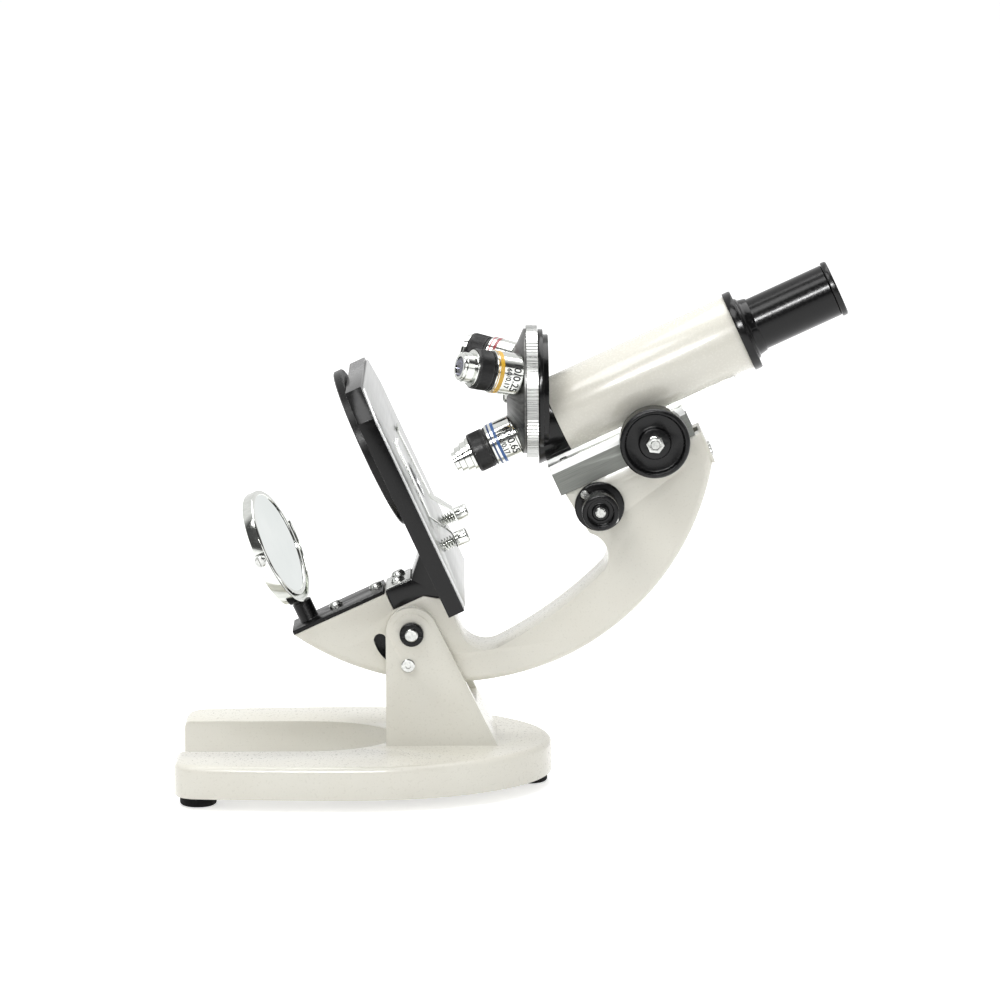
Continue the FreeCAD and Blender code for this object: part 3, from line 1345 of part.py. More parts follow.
def turret():
    wall = d.dome_wall.value / math.cos(nose_angle)
    skirt = d.ring_radius - 2.0
    seat = d.ring_radius - 4.0
    inner = d.ring_radius - 7.0
    centre = d.nose_screw_radius + d.shaft_clearance
    crown = d.dome_top_radius
    crown_height = dome_height(crown)
    dome = turned("dome_blank", [
        (centre, 0), (8.5, 0), (8.5, crown_height - wall), (crown, crown_height - wall),
        (inner, dome_height(inner) - wall), (inner, 0), (seat, 0), (seat, d.ring_width + 0.1),
        (skirt, d.ring_width + 0.1), (skirt, dome_height(skirt)), (crown, crown_height),
        (centre, crown_height),
    ], None, keep_it=False)
    dome.Placement = NOSE
    bores = [cylinder(f"seat_bore_{i}", d.objective_neck + 0.06, 30, objective_place(i).multiply(at(0, 0, -6)))
             for i in range(3)]
    cut("turret_dome", dome, bores)
    teeth = int(d.ring_teeth.value)
    depth = d.ring_tooth_depth.value
    outline_points = []
    for i in range(teeth):
        for share, radius in ((0.0, depth), (0.25, 0.0), (0.5, 0.0), (0.75, depth)):
            angle = 2 * math.pi * (i + share) / teeth
            reach = d.ring_radius.value - radius
            outline_points.append(Vector(reach * math.cos(angle), reach * math.sin(angle), 0))
    width = d.ring_width.value
    rim = Part.Face(Part.makePolygon(outline_points + outline_points[:1])).extrude(Vector(0, 0, width))
    bore = Part.makeCylinder(seat.value + 0.02, width * 3, Vector(0, 0, -width))
    made_in_code("turret_ring", rim.cut(bore), NOSE)
    head = crown_height + 0.12
    turned("turret_screw", [
        (0, -3.6), (d.nose_screw_radius, -3.6), (d.nose_screw_radius, head), (d.nose_screw_head, head),
        (d.nose_screw_head, head + 1.0), (d.nose_screw_head - 0.8, head + 1.8), (0, head + 1.8),
    ], NOSE)


def objective(name, index, barrel_end, grip_length, nose_steps):
    """Barrel, knurled grip and stepped nose, screwed together and seated on the dome."""
    place = objective_place(index)
    grip_end = barrel_end + grip_length
    grip_radius = d.grip_radius
    bore = d.barrel_bore
    neck = d.objective_neck
    radius = d.barrel_radius
    edge = 0.4
    turned(f"objective_{name}_barrel", [
        (bore, -2.6), (neck, -2.6), (neck, 0.05), (radius - edge, 0.05), (radius, edge),
        (radius, barrel_end - 0.3), (radius - 0.3, barrel_end), (bore, barrel_end),
    ], place)
    turned(f"objective_{name}_grip", [
        (bore, barrel_end), (grip_radius + 0.1, barrel_end), (grip_radius + 0.1, barrel_end + 0.8),
        (grip_radius - 0.5, barrel_end + 0.9), (grip_radius - 0.5, barrel_end + 1.5),
        (grip_radius, barrel_end + 1.6), (grip_radius, grip_end - 0.5), (grip_radius - 0.5, grip_end),
        (bore, grip_end),
    ], place)
    cavity = d.nose_cavity_radius
    points = [(cavity, grip_end)]
    low = grip_end
    for step_radius, step_length in nose_steps:
        high = low + step_length
        points.append((step_radius, low))
        points.append((step_radius, high - 0.3))
        points.append((step_radius - 0.3, high))
        low = high
    lens_radius = nose_steps[-1][0] - 1.6
    lens_seat = low - 2.4
    points += [(lens_radius, low), (lens_radius, lens_seat), (cavity, lens_seat)]
    if abs(lens_radius - number(cavity)) < 0.01:
        points = points[:-1]
    turned(f"objective_{name}_nose", points, place)
    lens = turned(f"objective_{name}_lens", [
        (0, lens_seat), (lens_radius, lens_seat), (lens_radius, low - 0.4), (0, low - 0.4),
    ], None, keep_it=False)
    lens.Placement = place
    return lens


def objectives():
    lenses = [
        objective("x40", 0, d.x40_barrel, d.x40_grip, [(8.2, 1.6), (7.2, 3.2), (6.2, 2.8), (4.6, 2.2)]),
        objective("x10", 1, d.x10_barrel, d.x10_grip, [(8.6, 1.0), (6.9, 4.2), (6.3, 1.4)]),
        objective("x4", 2, d.x4_barrel, d.x4_grip, [(8.6, 1.2), (7.9, 1.4)]),
    ]
    group_of("objective_lenses", lenses)


# ---------------------------------------------------------------- assembly

base_casting()
rubber_feet()
pivot_hardware()
tilt_stop_screw()
arm_casting()
end_plate_places = end_plate()
flange_places = flange_screw_places()
small_screws(end_plate_places + flange_places)
stage_casting()
stage_plate()
strip_places = stage_strip()
bracket_places = bracket_screw_places()
pan_screws(strip_places + bracket_places)
disc_diaphragm()
for leaf_name, leaf_side in (("clip_leaf_near", -1), ("clip_leaf_far", 1)):
    clip_leaf(leaf_name, leaf_side)
clip_posts()
mirror_bracket()
mirror_fork()
trunnion_screws()
mirror()
guide_block()
guide_gibs()
gib_places = guide_screws()
fine_follower()
fine_shaft()
fine_knobs()
pinion_shaft()
coarse_knobs()
rack()
tube_slide()
body_tube()
nosepiece_mount()
top_fittings()
eyepiece()
turret()
objectives()
drill("arm_casting", end_plate_places + flange_places, d.small_screw_radius, d.small_screw_length)
drill("end_plate", end_plate_places, d.small_screw_radius, d.small_screw_length)
drill("fine_flanges", flange_places, d.small_screw_radius, d.small_screw_length)
drill("arm_casting", bracket_places, d.stage_screw_radius, d.stage_screw_length)
drill("mirror_bracket", bracket_places, d.stage_screw_radius, d.stage_screw_length)
drill("stage_casting", strip_places, d.stage_screw_radius, d.stage_screw_length)
drill("stage_strip", strip_places, d.stage_screw_radius, d.stage_screw_length)
drill("guide_gibs", gib_places, d.gib_screw_radius, d.gib_screw_length)
drill("guide_block", gib_places, d.gib_screw_radius, d.gib_screw_length)

doc.recompute()
faults = []
for made in doc.Objects:
    if "Invalid" in made.State or "Error" in made.State:
        faults.append(f"{made.Name} ({made.Label}): {made.State}")
for node in nodes:
    if node.Shape.isNull() or not node.Shape.isValid() or not node.Shape.Solids:
        faults.append(f"{node.Label} has no sound shape")
if faults:
    raise SystemExit("\n".join(faults))
os.makedirs("parts", exist_ok=True)
for node in nodes:
    node.Shape.exportStep(f"parts/{node.Label}.step")
    print(f"{node.Label:26s} {len(node.Shape.Solids)} solids {node.Shape.Volume:12.1f} mm3")
print(len(nodes), "nodes")
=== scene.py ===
# %% [markdown]
# # A student microscope, dressed for its picture
# The frame comes from the CAD model: every casting, screw and lens already has its size and its
# place. This notebook gives each piece softened edges, a finish and the fine parts that are too
# small for CAD: knurling, colour bands and engraved figures. Then it lights and frames the object.

# %% Load the frame
import json
import math

import bpy
from mathutils import Matrix, Vector

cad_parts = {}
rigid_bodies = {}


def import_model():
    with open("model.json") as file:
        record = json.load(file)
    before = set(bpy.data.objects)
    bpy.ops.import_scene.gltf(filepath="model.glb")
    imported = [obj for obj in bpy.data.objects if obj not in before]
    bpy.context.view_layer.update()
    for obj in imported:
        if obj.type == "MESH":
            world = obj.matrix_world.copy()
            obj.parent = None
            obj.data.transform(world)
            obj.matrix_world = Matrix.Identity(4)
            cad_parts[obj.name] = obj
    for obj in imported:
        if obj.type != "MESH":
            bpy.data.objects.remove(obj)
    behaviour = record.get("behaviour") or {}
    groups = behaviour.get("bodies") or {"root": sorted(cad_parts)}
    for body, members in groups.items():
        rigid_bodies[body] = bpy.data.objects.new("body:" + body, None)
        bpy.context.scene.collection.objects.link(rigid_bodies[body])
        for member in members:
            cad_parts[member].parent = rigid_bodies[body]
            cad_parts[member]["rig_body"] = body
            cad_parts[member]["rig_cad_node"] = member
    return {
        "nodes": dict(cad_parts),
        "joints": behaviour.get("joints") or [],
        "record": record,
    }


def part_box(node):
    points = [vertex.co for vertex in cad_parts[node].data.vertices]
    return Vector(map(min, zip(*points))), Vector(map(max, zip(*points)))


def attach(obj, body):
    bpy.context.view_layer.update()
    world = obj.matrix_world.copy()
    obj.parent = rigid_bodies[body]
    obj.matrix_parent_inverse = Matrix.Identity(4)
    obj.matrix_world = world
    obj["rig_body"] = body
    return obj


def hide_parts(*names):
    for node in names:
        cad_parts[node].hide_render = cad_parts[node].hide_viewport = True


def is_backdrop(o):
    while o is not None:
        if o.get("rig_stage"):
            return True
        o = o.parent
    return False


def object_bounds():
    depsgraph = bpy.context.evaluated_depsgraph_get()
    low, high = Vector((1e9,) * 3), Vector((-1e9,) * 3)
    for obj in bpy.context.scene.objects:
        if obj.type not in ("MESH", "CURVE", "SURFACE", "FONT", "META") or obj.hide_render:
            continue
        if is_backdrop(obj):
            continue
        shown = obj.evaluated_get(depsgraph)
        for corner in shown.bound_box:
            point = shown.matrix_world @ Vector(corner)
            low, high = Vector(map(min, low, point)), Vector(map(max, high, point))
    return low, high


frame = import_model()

cad_low, cad_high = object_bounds()
nodes = frame["nodes"]
record = frame["record"]
slot_of = {part["node"]: part["material_slot"] for part in record["subparts"]}
body_of = {name: obj["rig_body"] for name, obj in nodes.items()}
MM = 0.001

# %% [markdown]
# Joints tell where things turn and slide. The drawtube slides along the optical axis, and the
# turret turns about its own tilted axis. An axis here is an origin and a direction, and it can
# measure how far along it a CAD node starts and ends, so later pieces are placed by measuring.


# %% Axes measured on the frame
class Axis:
    """A line through the model that can measure nodes and place pieces built along Z."""

    def __init__(self, origin, direction, side):
        self.origin = Vector(origin)
        self.z = Vector(direction).normalized()
        side = Vector(side)
        self.x = (side - self.z * side.dot(self.z)).normalized()
        self.y = self.z.cross(self.x)

    def place(self, height=0.0):
        """The matrix that carries a piece from the origin to this axis, at a height along it."""
        turn = Matrix((self.x, self.y, self.z)).transposed().to_4x4()
        return Matrix.Translation(self.origin + self.z * height) @ turn

    def reach(self, name):
        """Lowest and highest height of a node along the axis, and its largest radius."""
        heights = []
        radii = []
        for vertex in nodes[name].data.vertices:
            away = vertex.co - self.origin
            height = away.dot(self.z)
            heights.append(height)
            radii.append((away - self.z * height).length)
        return min(heights), max(heights), max(radii)


joints = {joint["name"]: joint for joint in frame["joints"]}
NEAR = Vector((0, -1, 0))
draw = joints["eyepiece_pull"]
turret = joints["nosepiece_turn"]
draw_low, draw_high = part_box("drawtube")
tube_axis = Axis((draw_low + draw_high) / 2, draw["axis"], NEAR)
turret_axis = Axis(turret["pos_m"], turret["axis"], NEAR)
print("tube axis", [round(v, 4) for v in tube_axis.z], "turret axis", [round(v, 4) for v in turret_axis.z])

# %% [markdown]
# # Finishes
# Paint, rubber and metal share three small effects. Each is a node group with named sockets,
# so one idea is tuned once per material instead of being rebuilt: a slow tint with a fine skin
# for paint, straight tool marks for machined metal, and a mask that finds sharp edges.


# %% A helper that wires nodes
class Sheet:
    """A node tree with short calls to add and join nodes."""

    def __init__(self, tree):
        self.tree = tree

    def add(self, kind, **settings):
        node = self.tree.nodes.new(kind)
        for name, value in settings.items():
            setattr(node, name, value)
        return node

    def join(self, source, target):
        self.tree.links.new(source, target)

    def blend(self, factor, first, second):
        """A colour mix of two sockets or two plain colours."""
        mix = self.add("ShaderNodeMix", data_type="RGBA")
        self.join(factor, mix.inputs["Factor"])
        for value, target in ((first, mix.inputs[6]), (second, mix.inputs[7])):
            if isinstance(value, bpy.types.NodeSocket):
                self.join(value, target)
            else:
                target.default_value = value
        return mix.outputs[2]

    def ramp(self, source, low, high, start=0.0, finish=1.0):
        """Carry a value from low..high to start..finish."""
        node = self.add("ShaderNodeMapRange")
        self.join(source, node.inputs["Value"])
        node.inputs["From Min"].default_value = low
        node.inputs["From Max"].default_value = high
        for name, value in (("To Min", start), ("To Max", finish)):
            if isinstance(value, bpy.types.NodeSocket):
                self.join(value, node.inputs[name])
            else:
                node.inputs[name].default_value = value
        return node.outputs["Result"]


def new_group(name, inputs, outputs):
    """A shader node group with named sockets; returns its sheet, its input and its output."""
    tree = bpy.data.node_groups.new(name, "ShaderNodeTree")
    for label, kind, value in inputs:
        socket = tree.interface.new_socket(label, in_out="INPUT", socket_type=kind)
        if value is not None:
            socket.default_value = value
    for label, kind in outputs:
        tree.interface.new_socket(label, in_out="OUTPUT", socket_type=kind)
    sheet = Sheet(tree)
    return sheet, sheet.add("NodeGroupInput").outputs, sheet.add("NodeGroupOutput").inputs


FLOAT, COLOUR, VECTOR = "NodeSocketFloat", "NodeSocketColor", "NodeSocketVector"
print("wiring helpers ready")

# %% [markdown]
# Sprayed enamel is never one flat colour. It pools slightly darker in slow patches, and its skin
# has the faint waviness that painters call orange peel.


# %% Group: painted skin
def painted_skin():
    sheet, given, out = new_group("painted_skin", [
        ("Colour", COLOUR, None), ("Shade", COLOUR, None), ("Patch Scale", FLOAT, 30.0),
        ("Peel Scale", FLOAT, 900.0), ("Peel Height", FLOAT, 0.00001),
        ("Roughness", FLOAT, 0.3), ("Roughness Spread", FLOAT, 0.08),
    ], [("Colour", COLOUR), ("Roughness", FLOAT), ("Normal", VECTOR)])
    place = sheet.add("ShaderNodeTexCoord").outputs["Object"]
    patch = sheet.add("ShaderNodeTexNoise")
    peel = sheet.add("ShaderNodeTexNoise")
    for texture, scale in ((patch, "Patch Scale"), (peel, "Peel Scale")):
        sheet.join(place, texture.inputs["Vector"])
        sheet.join(given[scale], texture.inputs["Scale"])
    patch.inputs["Detail"].default_value = 4
    peel.inputs["Detail"].default_value = 2
    tint = sheet.ramp(patch.outputs["Fac"], 0.35, 0.75)
    sheet.join(sheet.blend(tint, given["Colour"], given["Shade"]), out["Colour"])
    spread = sheet.add("ShaderNodeMath", operation="MULTIPLY_ADD")
    sheet.join(sheet.ramp(peel.outputs["Fac"], 0.3, 0.7, -0.5, 0.5), spread.inputs[0])
    sheet.join(given["Roughness Spread"], spread.inputs[1])
    sheet.join(given["Roughness"], spread.inputs[2])
    sheet.join(spread.outputs[0], out["Roughness"])
    bump = sheet.add("ShaderNodeBump")
    sheet.join(peel.outputs["Fac"], bump.inputs["Height"])
    sheet.join(given["Peel Height"], bump.inputs["Distance"])
    sheet.join(bump.outputs["Normal"], out["Normal"])
    return sheet.tree


# %% [markdown]
# A milled or turned surface carries fine straight marks. Stretching a noise along the direction
# of the cut gives them: the coordinate arrives already turned, so the marks run along its X.


# %% Group: tool marks
def tool_marks():
    sheet, given, out = new_group("tool_marks", [
        ("Vector", VECTOR, None), ("Colour", COLOUR, None), ("Dark", COLOUR, None),
        ("Scale", FLOAT, 900.0), ("Roughness", FLOAT, 0.3), ("Roughness Spread", FLOAT, 0.15),
        ("Height", FLOAT, 0.00001),
    ], [("Colour", COLOUR), ("Roughness", FLOAT), ("Normal", VECTOR)])
    stretch = sheet.add("ShaderNodeMapping")
    stretch.inputs["Scale"].default_value = (0.02, 1.0, 1.0)
    sheet.join(given["Vector"], stretch.inputs["Vector"])
    marks = sheet.add("ShaderNodeTexNoise")
    marks.inputs["Detail"].default_value = 5
    sheet.join(stretch.outputs["Vector"], marks.inputs["Vector"])
    sheet.join(given["Scale"], marks.inputs["Scale"])
    smudge = sheet.add("ShaderNodeTexNoise")
    smudge.inputs["Scale"].default_value = 60
    smudge.inputs["Detail"].default_value = 3
    sheet.join(given["Vector"], smudge.inputs["Vector"])
    tint = sheet.ramp(marks.outputs["Fac"], 0.3, 0.7)
    sheet.join(sheet.blend(tint, given["Dark"], given["Colour"]), out["Colour"])
    both = sheet.add("ShaderNodeMath", operation="ADD")
    sheet.join(marks.outputs["Fac"], both.inputs[0])
    sheet.join(smudge.outputs["Fac"], both.inputs[1])
    spread = sheet.add("ShaderNodeMath", operation="MULTIPLY_ADD")
    sheet.join(sheet.ramp(both.outputs[0], 0.7, 1.3, -0.5, 0.5), spread.inputs[0])
    sheet.join(given["Roughness Spread"], spread.inputs[1])
    sheet.join(given["Roughness"], spread.inputs[2])
    sheet.join(spread.outputs[0], out["Roughness"])
    bump = sheet.add("ShaderNodeBump")
    sheet.join(marks.outputs["Fac"], bump.inputs["Height"])
    sheet.join(given["Height"], bump.inputs["Distance"])
    sheet.join(bump.outputs["Normal"], out["Normal"])
    return sheet.tree


# %% [markdown]
# Handling brightens the corners of black paint first; on the knurled grip the lightened edges
# are also painted highlight for the glints on its pads. The Bevel node bends the normal near an
# edge, so comparing it with the true normal marks the edges, and a noise breaks the line up.


# %% Group: edge mask
def edge_mask():
    sheet, given, out = new_group("edge_mask", [
        ("Radius", FLOAT, 0.0004), ("Break Up", FLOAT, 400.0), ("Amount", FLOAT, 0.5),
    ], [("Mask", FLOAT)])
    soft = sheet.add("ShaderNodeBevel", samples=4)
    sheet.join(given["Radius"], soft.inputs["Radius"])
    true = sheet.add("ShaderNodeNewGeometry").outputs["Normal"]
    dot = sheet.add("ShaderNodeVectorMath", operation="DOT_PRODUCT")
    sheet.join(soft.outputs["Normal"], dot.inputs[0])
    sheet.join(true, dot.inputs[1])
    edge = sheet.ramp(dot.outputs["Value"], 0.995, 0.85)
    noise = sheet.add("ShaderNodeTexNoise")
    sheet.join(sheet.add("ShaderNodeTexCoord").outputs["Object"], noise.inputs["Vector"])
    sheet.join(given["Break Up"], noise.inputs["Scale"])
    broken = sheet.add("ShaderNodeMath", operation="MULTIPLY")
    sheet.join(edge, broken.inputs[0])
    sheet.join(sheet.ramp(noise.outputs["Fac"], 0.4, 0.6), broken.inputs[1])
    scaled = sheet.add("ShaderNodeMath", operation="MULTIPLY")
    sheet.join(broken.outputs[0], scaled.inputs[0])
    sheet.join(given["Amount"], scaled.inputs[1])
    sheet.join(scaled.outputs[0], out["Mask"])
    return sheet.tree


PAINTED_SKIN = painted_skin()
TOOL_MARKS = tool_marks()
EDGE_MASK = edge_mask()
print("groups:", [group.name for group in bpy.data.node_groups])

# %% [markdown]
# Every finish is now one call with its own values. A painted or moulded finish takes the painted
# skin; where an edge amount is given, the edge mask lets a little bare metal through. On the grip
# it is set high and is partly wear, partly painted highlight for the glints on the knurl.


# %% Paints, plastics and rubber
def rgb(red, green, blue):
    """A colour as it is picked on a screen, 0 to 255, made linear for the shader."""
    def linear(value):
        share = value / 255
        return share / 12.92 if share <= 0.04045 else ((share + 0.055) / 1.055) ** 2.4
    return (linear(red), linear(green), linear(blue), 1.0)


def start_material(name):
    material = bpy.data.materials.new(name)
    material.use_nodes = True
    sheet = Sheet(material.node_tree)
    return material, sheet, material.node_tree.nodes["Principled BSDF"]


def use_group(sheet, tree, values):
    group = sheet.add("ShaderNodeGroup", node_tree=tree)
    for label, value in values.items():
        group.inputs[label].default_value = value
    return group


def paint(name, colour, shade, roughness, spread=0.08, patch=30.0, peel=900.0, height=0.00001,
          coat=0.0, wear_and_glint=0.0, shine=0.5):
    material, sheet, shader = start_material(name)
    skin = use_group(sheet, PAINTED_SKIN, {
        "Colour": colour, "Shade": shade, "Patch Scale": patch, "Peel Scale": peel,
        "Peel Height": height, "Roughness": roughness, "Roughness Spread": spread})
    tint = skin.outputs["Colour"]
    if wear_and_glint:
        # Lightened edges: wear, and on the grip also painted highlight.
        mask = use_group(sheet, EDGE_MASK, {"Amount": wear_and_glint})
        tint = sheet.blend(mask.outputs["Mask"], tint, rgb(150, 150, 148))
    sheet.join(tint, shader.inputs["Base Color"])
    sheet.join(skin.outputs["Roughness"], shader.inputs["Roughness"])
    sheet.join(skin.outputs["Normal"], shader.inputs["Normal"])
    shader.inputs["Specular IOR Level"].default_value = shine
    shader.inputs["Coat Weight"].default_value = coat
    shader.inputs["Coat Roughness"].default_value = 0.08
    return material


CREAM, CREAM_SHADE = rgb(229, 227, 216), rgb(226, 223, 211)
BLACK, BLACK_SHADE = rgb(8, 8, 9), rgb(13, 13, 13)
finishes = {
    "base_enamel": paint("cream_enamel_base", CREAM, CREAM_SHADE, 0.3, coat=0.3),
    "arm_enamel": paint("cream_enamel_arm", CREAM, CREAM_SHADE, 0.3, coat=0.3),
    "tube_enamel": paint("cream_enamel_tube", CREAM, CREAM_SHADE, 0.26, coat=0.4),
    "plate_enamel": paint("cream_enamel_plate", CREAM, CREAM_SHADE, 0.34, coat=0.2),
    "black_enamel": paint("black_enamel", BLACK, BLACK_SHADE, 0.2, wear_and_glint=0.25, shine=0.3),
    "black_plate": paint("black_plate", BLACK, BLACK_SHADE, 0.3, wear_and_glint=0.4, shine=0.25),
    "black_plastic": paint("black_knob", rgb(10, 10, 11), rgb(16, 16, 17), 0.24, shine=0.3),
    "eyepiece_black": paint("eyepiece_black", rgb(10, 10, 11), rgb(16, 16, 17), 0.24, shine=0.35),
    # The grip's edge lightening is partly wear and partly painted highlight for the glints on its knurl.
    "grip_black": paint("grip_black", rgb(14, 14, 15), rgb(26, 26, 26), 0.38, wear_and_glint=0.5, shine=0.3),
    "rubber": paint("rubber", rgb(14, 14, 14), rgb(24, 23, 22), 0.75, peel=1500, height=0.00008,
                    shine=0.2),
}
print(len(finishes), "painted finishes")

# %% [markdown]
# Bare metals take the tool marks. The direction of the cut matters: the slide and the guide are
# milled along the tube, the knurled ring is turned about its axis, and plating hides most marks.


# %% Metals
def metal(name, colour, dark, roughness, spread=0.12, scale=900.0, height=0.000004, cut=None):
    """A bare metal; cut is the direction of its tool marks."""
    material, sheet, shader = start_material(name)
    along = Vector(cut) if cut else Vector((1, 0, 0))
    turn = sheet.add("ShaderNodeMapping", vector_type="TEXTURE")
    turn.inputs["Rotation"].default_value = along.to_track_quat("X", "Y").to_euler()
    sheet.join(sheet.add("ShaderNodeTexCoord").outputs["Object"], turn.inputs["Vector"])
    marks = use_group(sheet, TOOL_MARKS, {
        "Colour": colour, "Dark": dark, "Scale": scale, "Roughness": roughness,
        "Roughness Spread": spread, "Height": height})
    sheet.join(turn.outputs["Vector"], marks.inputs["Vector"])
    sheet.join(marks.outputs["Colour"], shader.inputs["Base Color"])
    sheet.join(marks.outputs["Roughness"], shader.inputs["Roughness"])
    sheet.join(marks.outputs["Normal"], shader.inputs["Normal"])
    shader.inputs["Metallic"].default_value = 1.0
    return material


ALONG = tube_axis.z
ACROSS = (0, 1, 0)
finishes.update({
    "bright_steel": metal("bright_steel", rgb(208, 209, 206), rgb(176, 177, 174), 0.24, cut=ACROSS),
    "chrome": metal("chrome", rgb(222, 224, 220), rgb(206, 208, 203), 0.12, 0.08, 500, 0.000002),
    "stage_silver": metal("stage_silver", rgb(206, 207, 206), rgb(188, 189, 188), 0.38, cut=ACROSS),
    "guide_metal": metal("guide_metal", rgb(126, 128, 124), rgb(104, 106, 102), 0.55, scale=2600.0, cut=ALONG),
    "slide_metal": metal("slide_metal", rgb(226, 227, 225), rgb(202, 203, 201), 0.4, cut=ALONG),
    "turret_metal": metal("turret_metal", rgb(104, 104, 102), rgb(78, 78, 77), 0.36, cut=turret_axis.x),
    "ring_metal": metal("ring_metal", rgb(196, 197, 195), rgb(158, 159, 157), 0.3, cut=turret_axis.z),
    "mirror_glass": metal("mirror_glass", rgb(232, 236, 234), rgb(224, 229, 227), 0.03, 0.03, 40, 0.0),
})
print(len(finishes), "finishes")

# %% [markdown]
# The lenses are plain glass: clear, smooth, with only a thin blue-violet tint that stands for
# their coating. A slow noise in the tint keeps it from looking printed on.


# %% Lens glass
def lens_glass():
    material, sheet, shader = start_material("lens_glass")
    skin = use_group(sheet, PAINTED_SKIN, {
        "Colour": rgb(196, 204, 236), "Shade": rgb(206, 196, 232), "Patch Scale": 120.0,
        "Roughness": 0.03, "Roughness Spread": 0.02, "Peel Height": 0.0})
    sheet.join(skin.outputs["Colour"], shader.inputs["Base Color"])
    sheet.join(skin.outputs["Roughness"], shader.inputs["Roughness"])
    shader.inputs["Transmission Weight"].default_value = 1.0
    shader.inputs["IOR"].default_value = 1.5
    return material


finishes["lens_glass"] = lens_glass()
missing = sorted(set(slot_of.values()) - set(finishes))
assert not missing, missing
for name, obj in nodes.items():
    obj.data.materials.clear()
    obj.data.materials.append(finishes[slot_of[name]])
print("every CAD node has a finish")

# %% [markdown]
# # Softened edges
# CAD edges are perfectly sharp, and light never catches them. A real casting, a turned knob and
# even a cut plate have a small rounding that draws a bright line. So a copy of the CAD mesh is
# merged, cleaned and bevelled, and it stands in for the node.


# %% A softened copy of a CAD node
def only(piece):
    """Deselect everything, then select and activate one object."""
    bpy.ops.object.select_all(action="DESELECT")
    piece.select_set(True)
    bpy.context.view_layer.objects.active = piece


def soften(name, width, steps=2, angle=32):
    piece = nodes[name].copy()
    piece.data = nodes[name].data.copy()
    piece.name = f"{name}_soft"
    del piece["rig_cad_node"]
    piece.parent = None
    bpy.context.scene.collection.objects.link(piece)
    only(piece)
    if piece.data.has_custom_normals:
        bpy.ops.mesh.customdata_custom_splitnormals_clear()
    bpy.ops.object.mode_set(mode="EDIT")
    bpy.ops.mesh.select_all(action="SELECT")
    bpy.ops.mesh.remove_doubles(threshold=0.000001)
    bpy.ops.mesh.dissolve_limited(angle_limit=math.radians(0.6))
    bpy.ops.object.mode_set(mode="OBJECT")
    bevel = piece.modifiers.new("bevel", "BEVEL")
    bevel.width = width
    bevel.segments = steps
    bevel.limit_method = "ANGLE"
    bevel.angle_limit = math.radians(angle)
    bevel.miter_outer = "MITER_ARC"
    bpy.ops.object.modifier_apply(modifier=bevel.name)
    bpy.ops.object.shade_smooth_by_angle(angle=math.radians(angle))
    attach(piece, body_of[name])
    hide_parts(name)
    return piece


SOFT_WIDTHS = {
    "base_casting": 0.9, "arm_casting": 0.7, "end_plate": 0.2, "stage_casting": 0.5,
    "stage_plate": 0.25, "mirror_bracket": 0.3, "mirror_fork": 0.3, "guide_block": 0.25,
    "guide_gibs": 0.2, "tube_slide": 0.25, "stage_strip": 0.15, "coarse_knob_nuts": 0.3,
    "coarse_knobs": 0.3, "fine_knobs": 0.25, "fine_flanges": 0.25, "tube_flange": 0.25,
    "eyepiece_barrel": 0.15, "body_tube": 0.15, "pivot_nuts": 0.2, "turret_dome": 0.3,
    "nosepiece_mount": 0.3, "rubber_feet": 0.4, "clip_posts": 0.2, "mirror_cell": 0.2,
}
for name, width in SOFT_WIDTHS.items():
    piece = soften(name, width * MM)
    print(f"{piece.name:24s} {len(piece.data.polygons)} faces")

# %% [markdown]
# # The objectives' fine parts
# Each objective hangs on the turret at its own angle. Turning the optical axis about the turret's
# axis by a third of a turn gives the next one, and the CAD barrel says where its parts end.


# %% Objective axes
def crossing(first, second):
    """The point of the first axis that lies nearest to the second."""
    across = first.z.cross(second.z)
    gap = second.origin - first.origin
    return first.origin + first.z * gap.cross(second.z).dot(across) / across.length_squared


cross = crossing(turret_axis, tube_axis)
OBJECTIVES = ("x40", "x10", "x4")
objective_axes = {}
for index, name in enumerate(OBJECTIVES):
    spin = Matrix.Rotation(2 * math.pi * index / len(OBJECTIVES), 3, turret_axis.z)
    axis = Axis(cross, spin @ -tube_axis.z, NEAR)
    low, high, radius = axis.reach(f"objective_{name}_barrel")
    objective_axes[name] = axis
    print(f"{name}: barrel {low / MM:.1f} to {high / MM:.1f} mm, radius {radius / MM:.2f}")

# %% [markdown]
# The grip is knurled so that fingers hold it. A plain cylinder is cut into rings, and every
# second column of points is pushed in, row by row in turn, which leaves small raised pads. The
# end points are pushed in as well, so both ends are a little smaller, and a groove is cut beside
# the pads.


# %% Knurled grips
def settle(piece, axis, height, body, material):
    """Carry a piece built at the origin along Z to its place, then ride and finish it."""
    piece.data.transform(axis.place(height))
    piece.data.materials.clear()
    piece.data.materials.append(material)
    only(piece)
    bpy.ops.object.shade_smooth_by_angle(angle=math.radians(32))
    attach(piece, body)
    return piece


def add_cylinder(name, sides, radius, depth):
    """A cylinder standing on the origin, left in edit mode with nothing selected."""
    bpy.ops.object.select_all(action="DESELECT")
    bpy.ops.mesh.primitive_cylinder_add(vertices=sides, radius=radius, depth=depth,
                                        location=(0, 0, depth / 2))
    piece = bpy.context.object
    piece.name = name
    bpy.ops.object.transform_apply(location=True, rotation=True, scale=True)
    bpy.ops.object.mode_set(mode="EDIT")
    bpy.ops.mesh.select_all(action="DESELECT")
    return piece


def cut_rings(piece, heights):
    """Cut a standing piece across at each height."""
    for height in heights:
        bpy.ops.mesh.select_all(action="SELECT")
        bpy.ops.mesh.bisect(plane_co=(0, 0, height), plane_no=(0, 0, 1))
    bpy.ops.mesh.select_all(action="DESELECT")


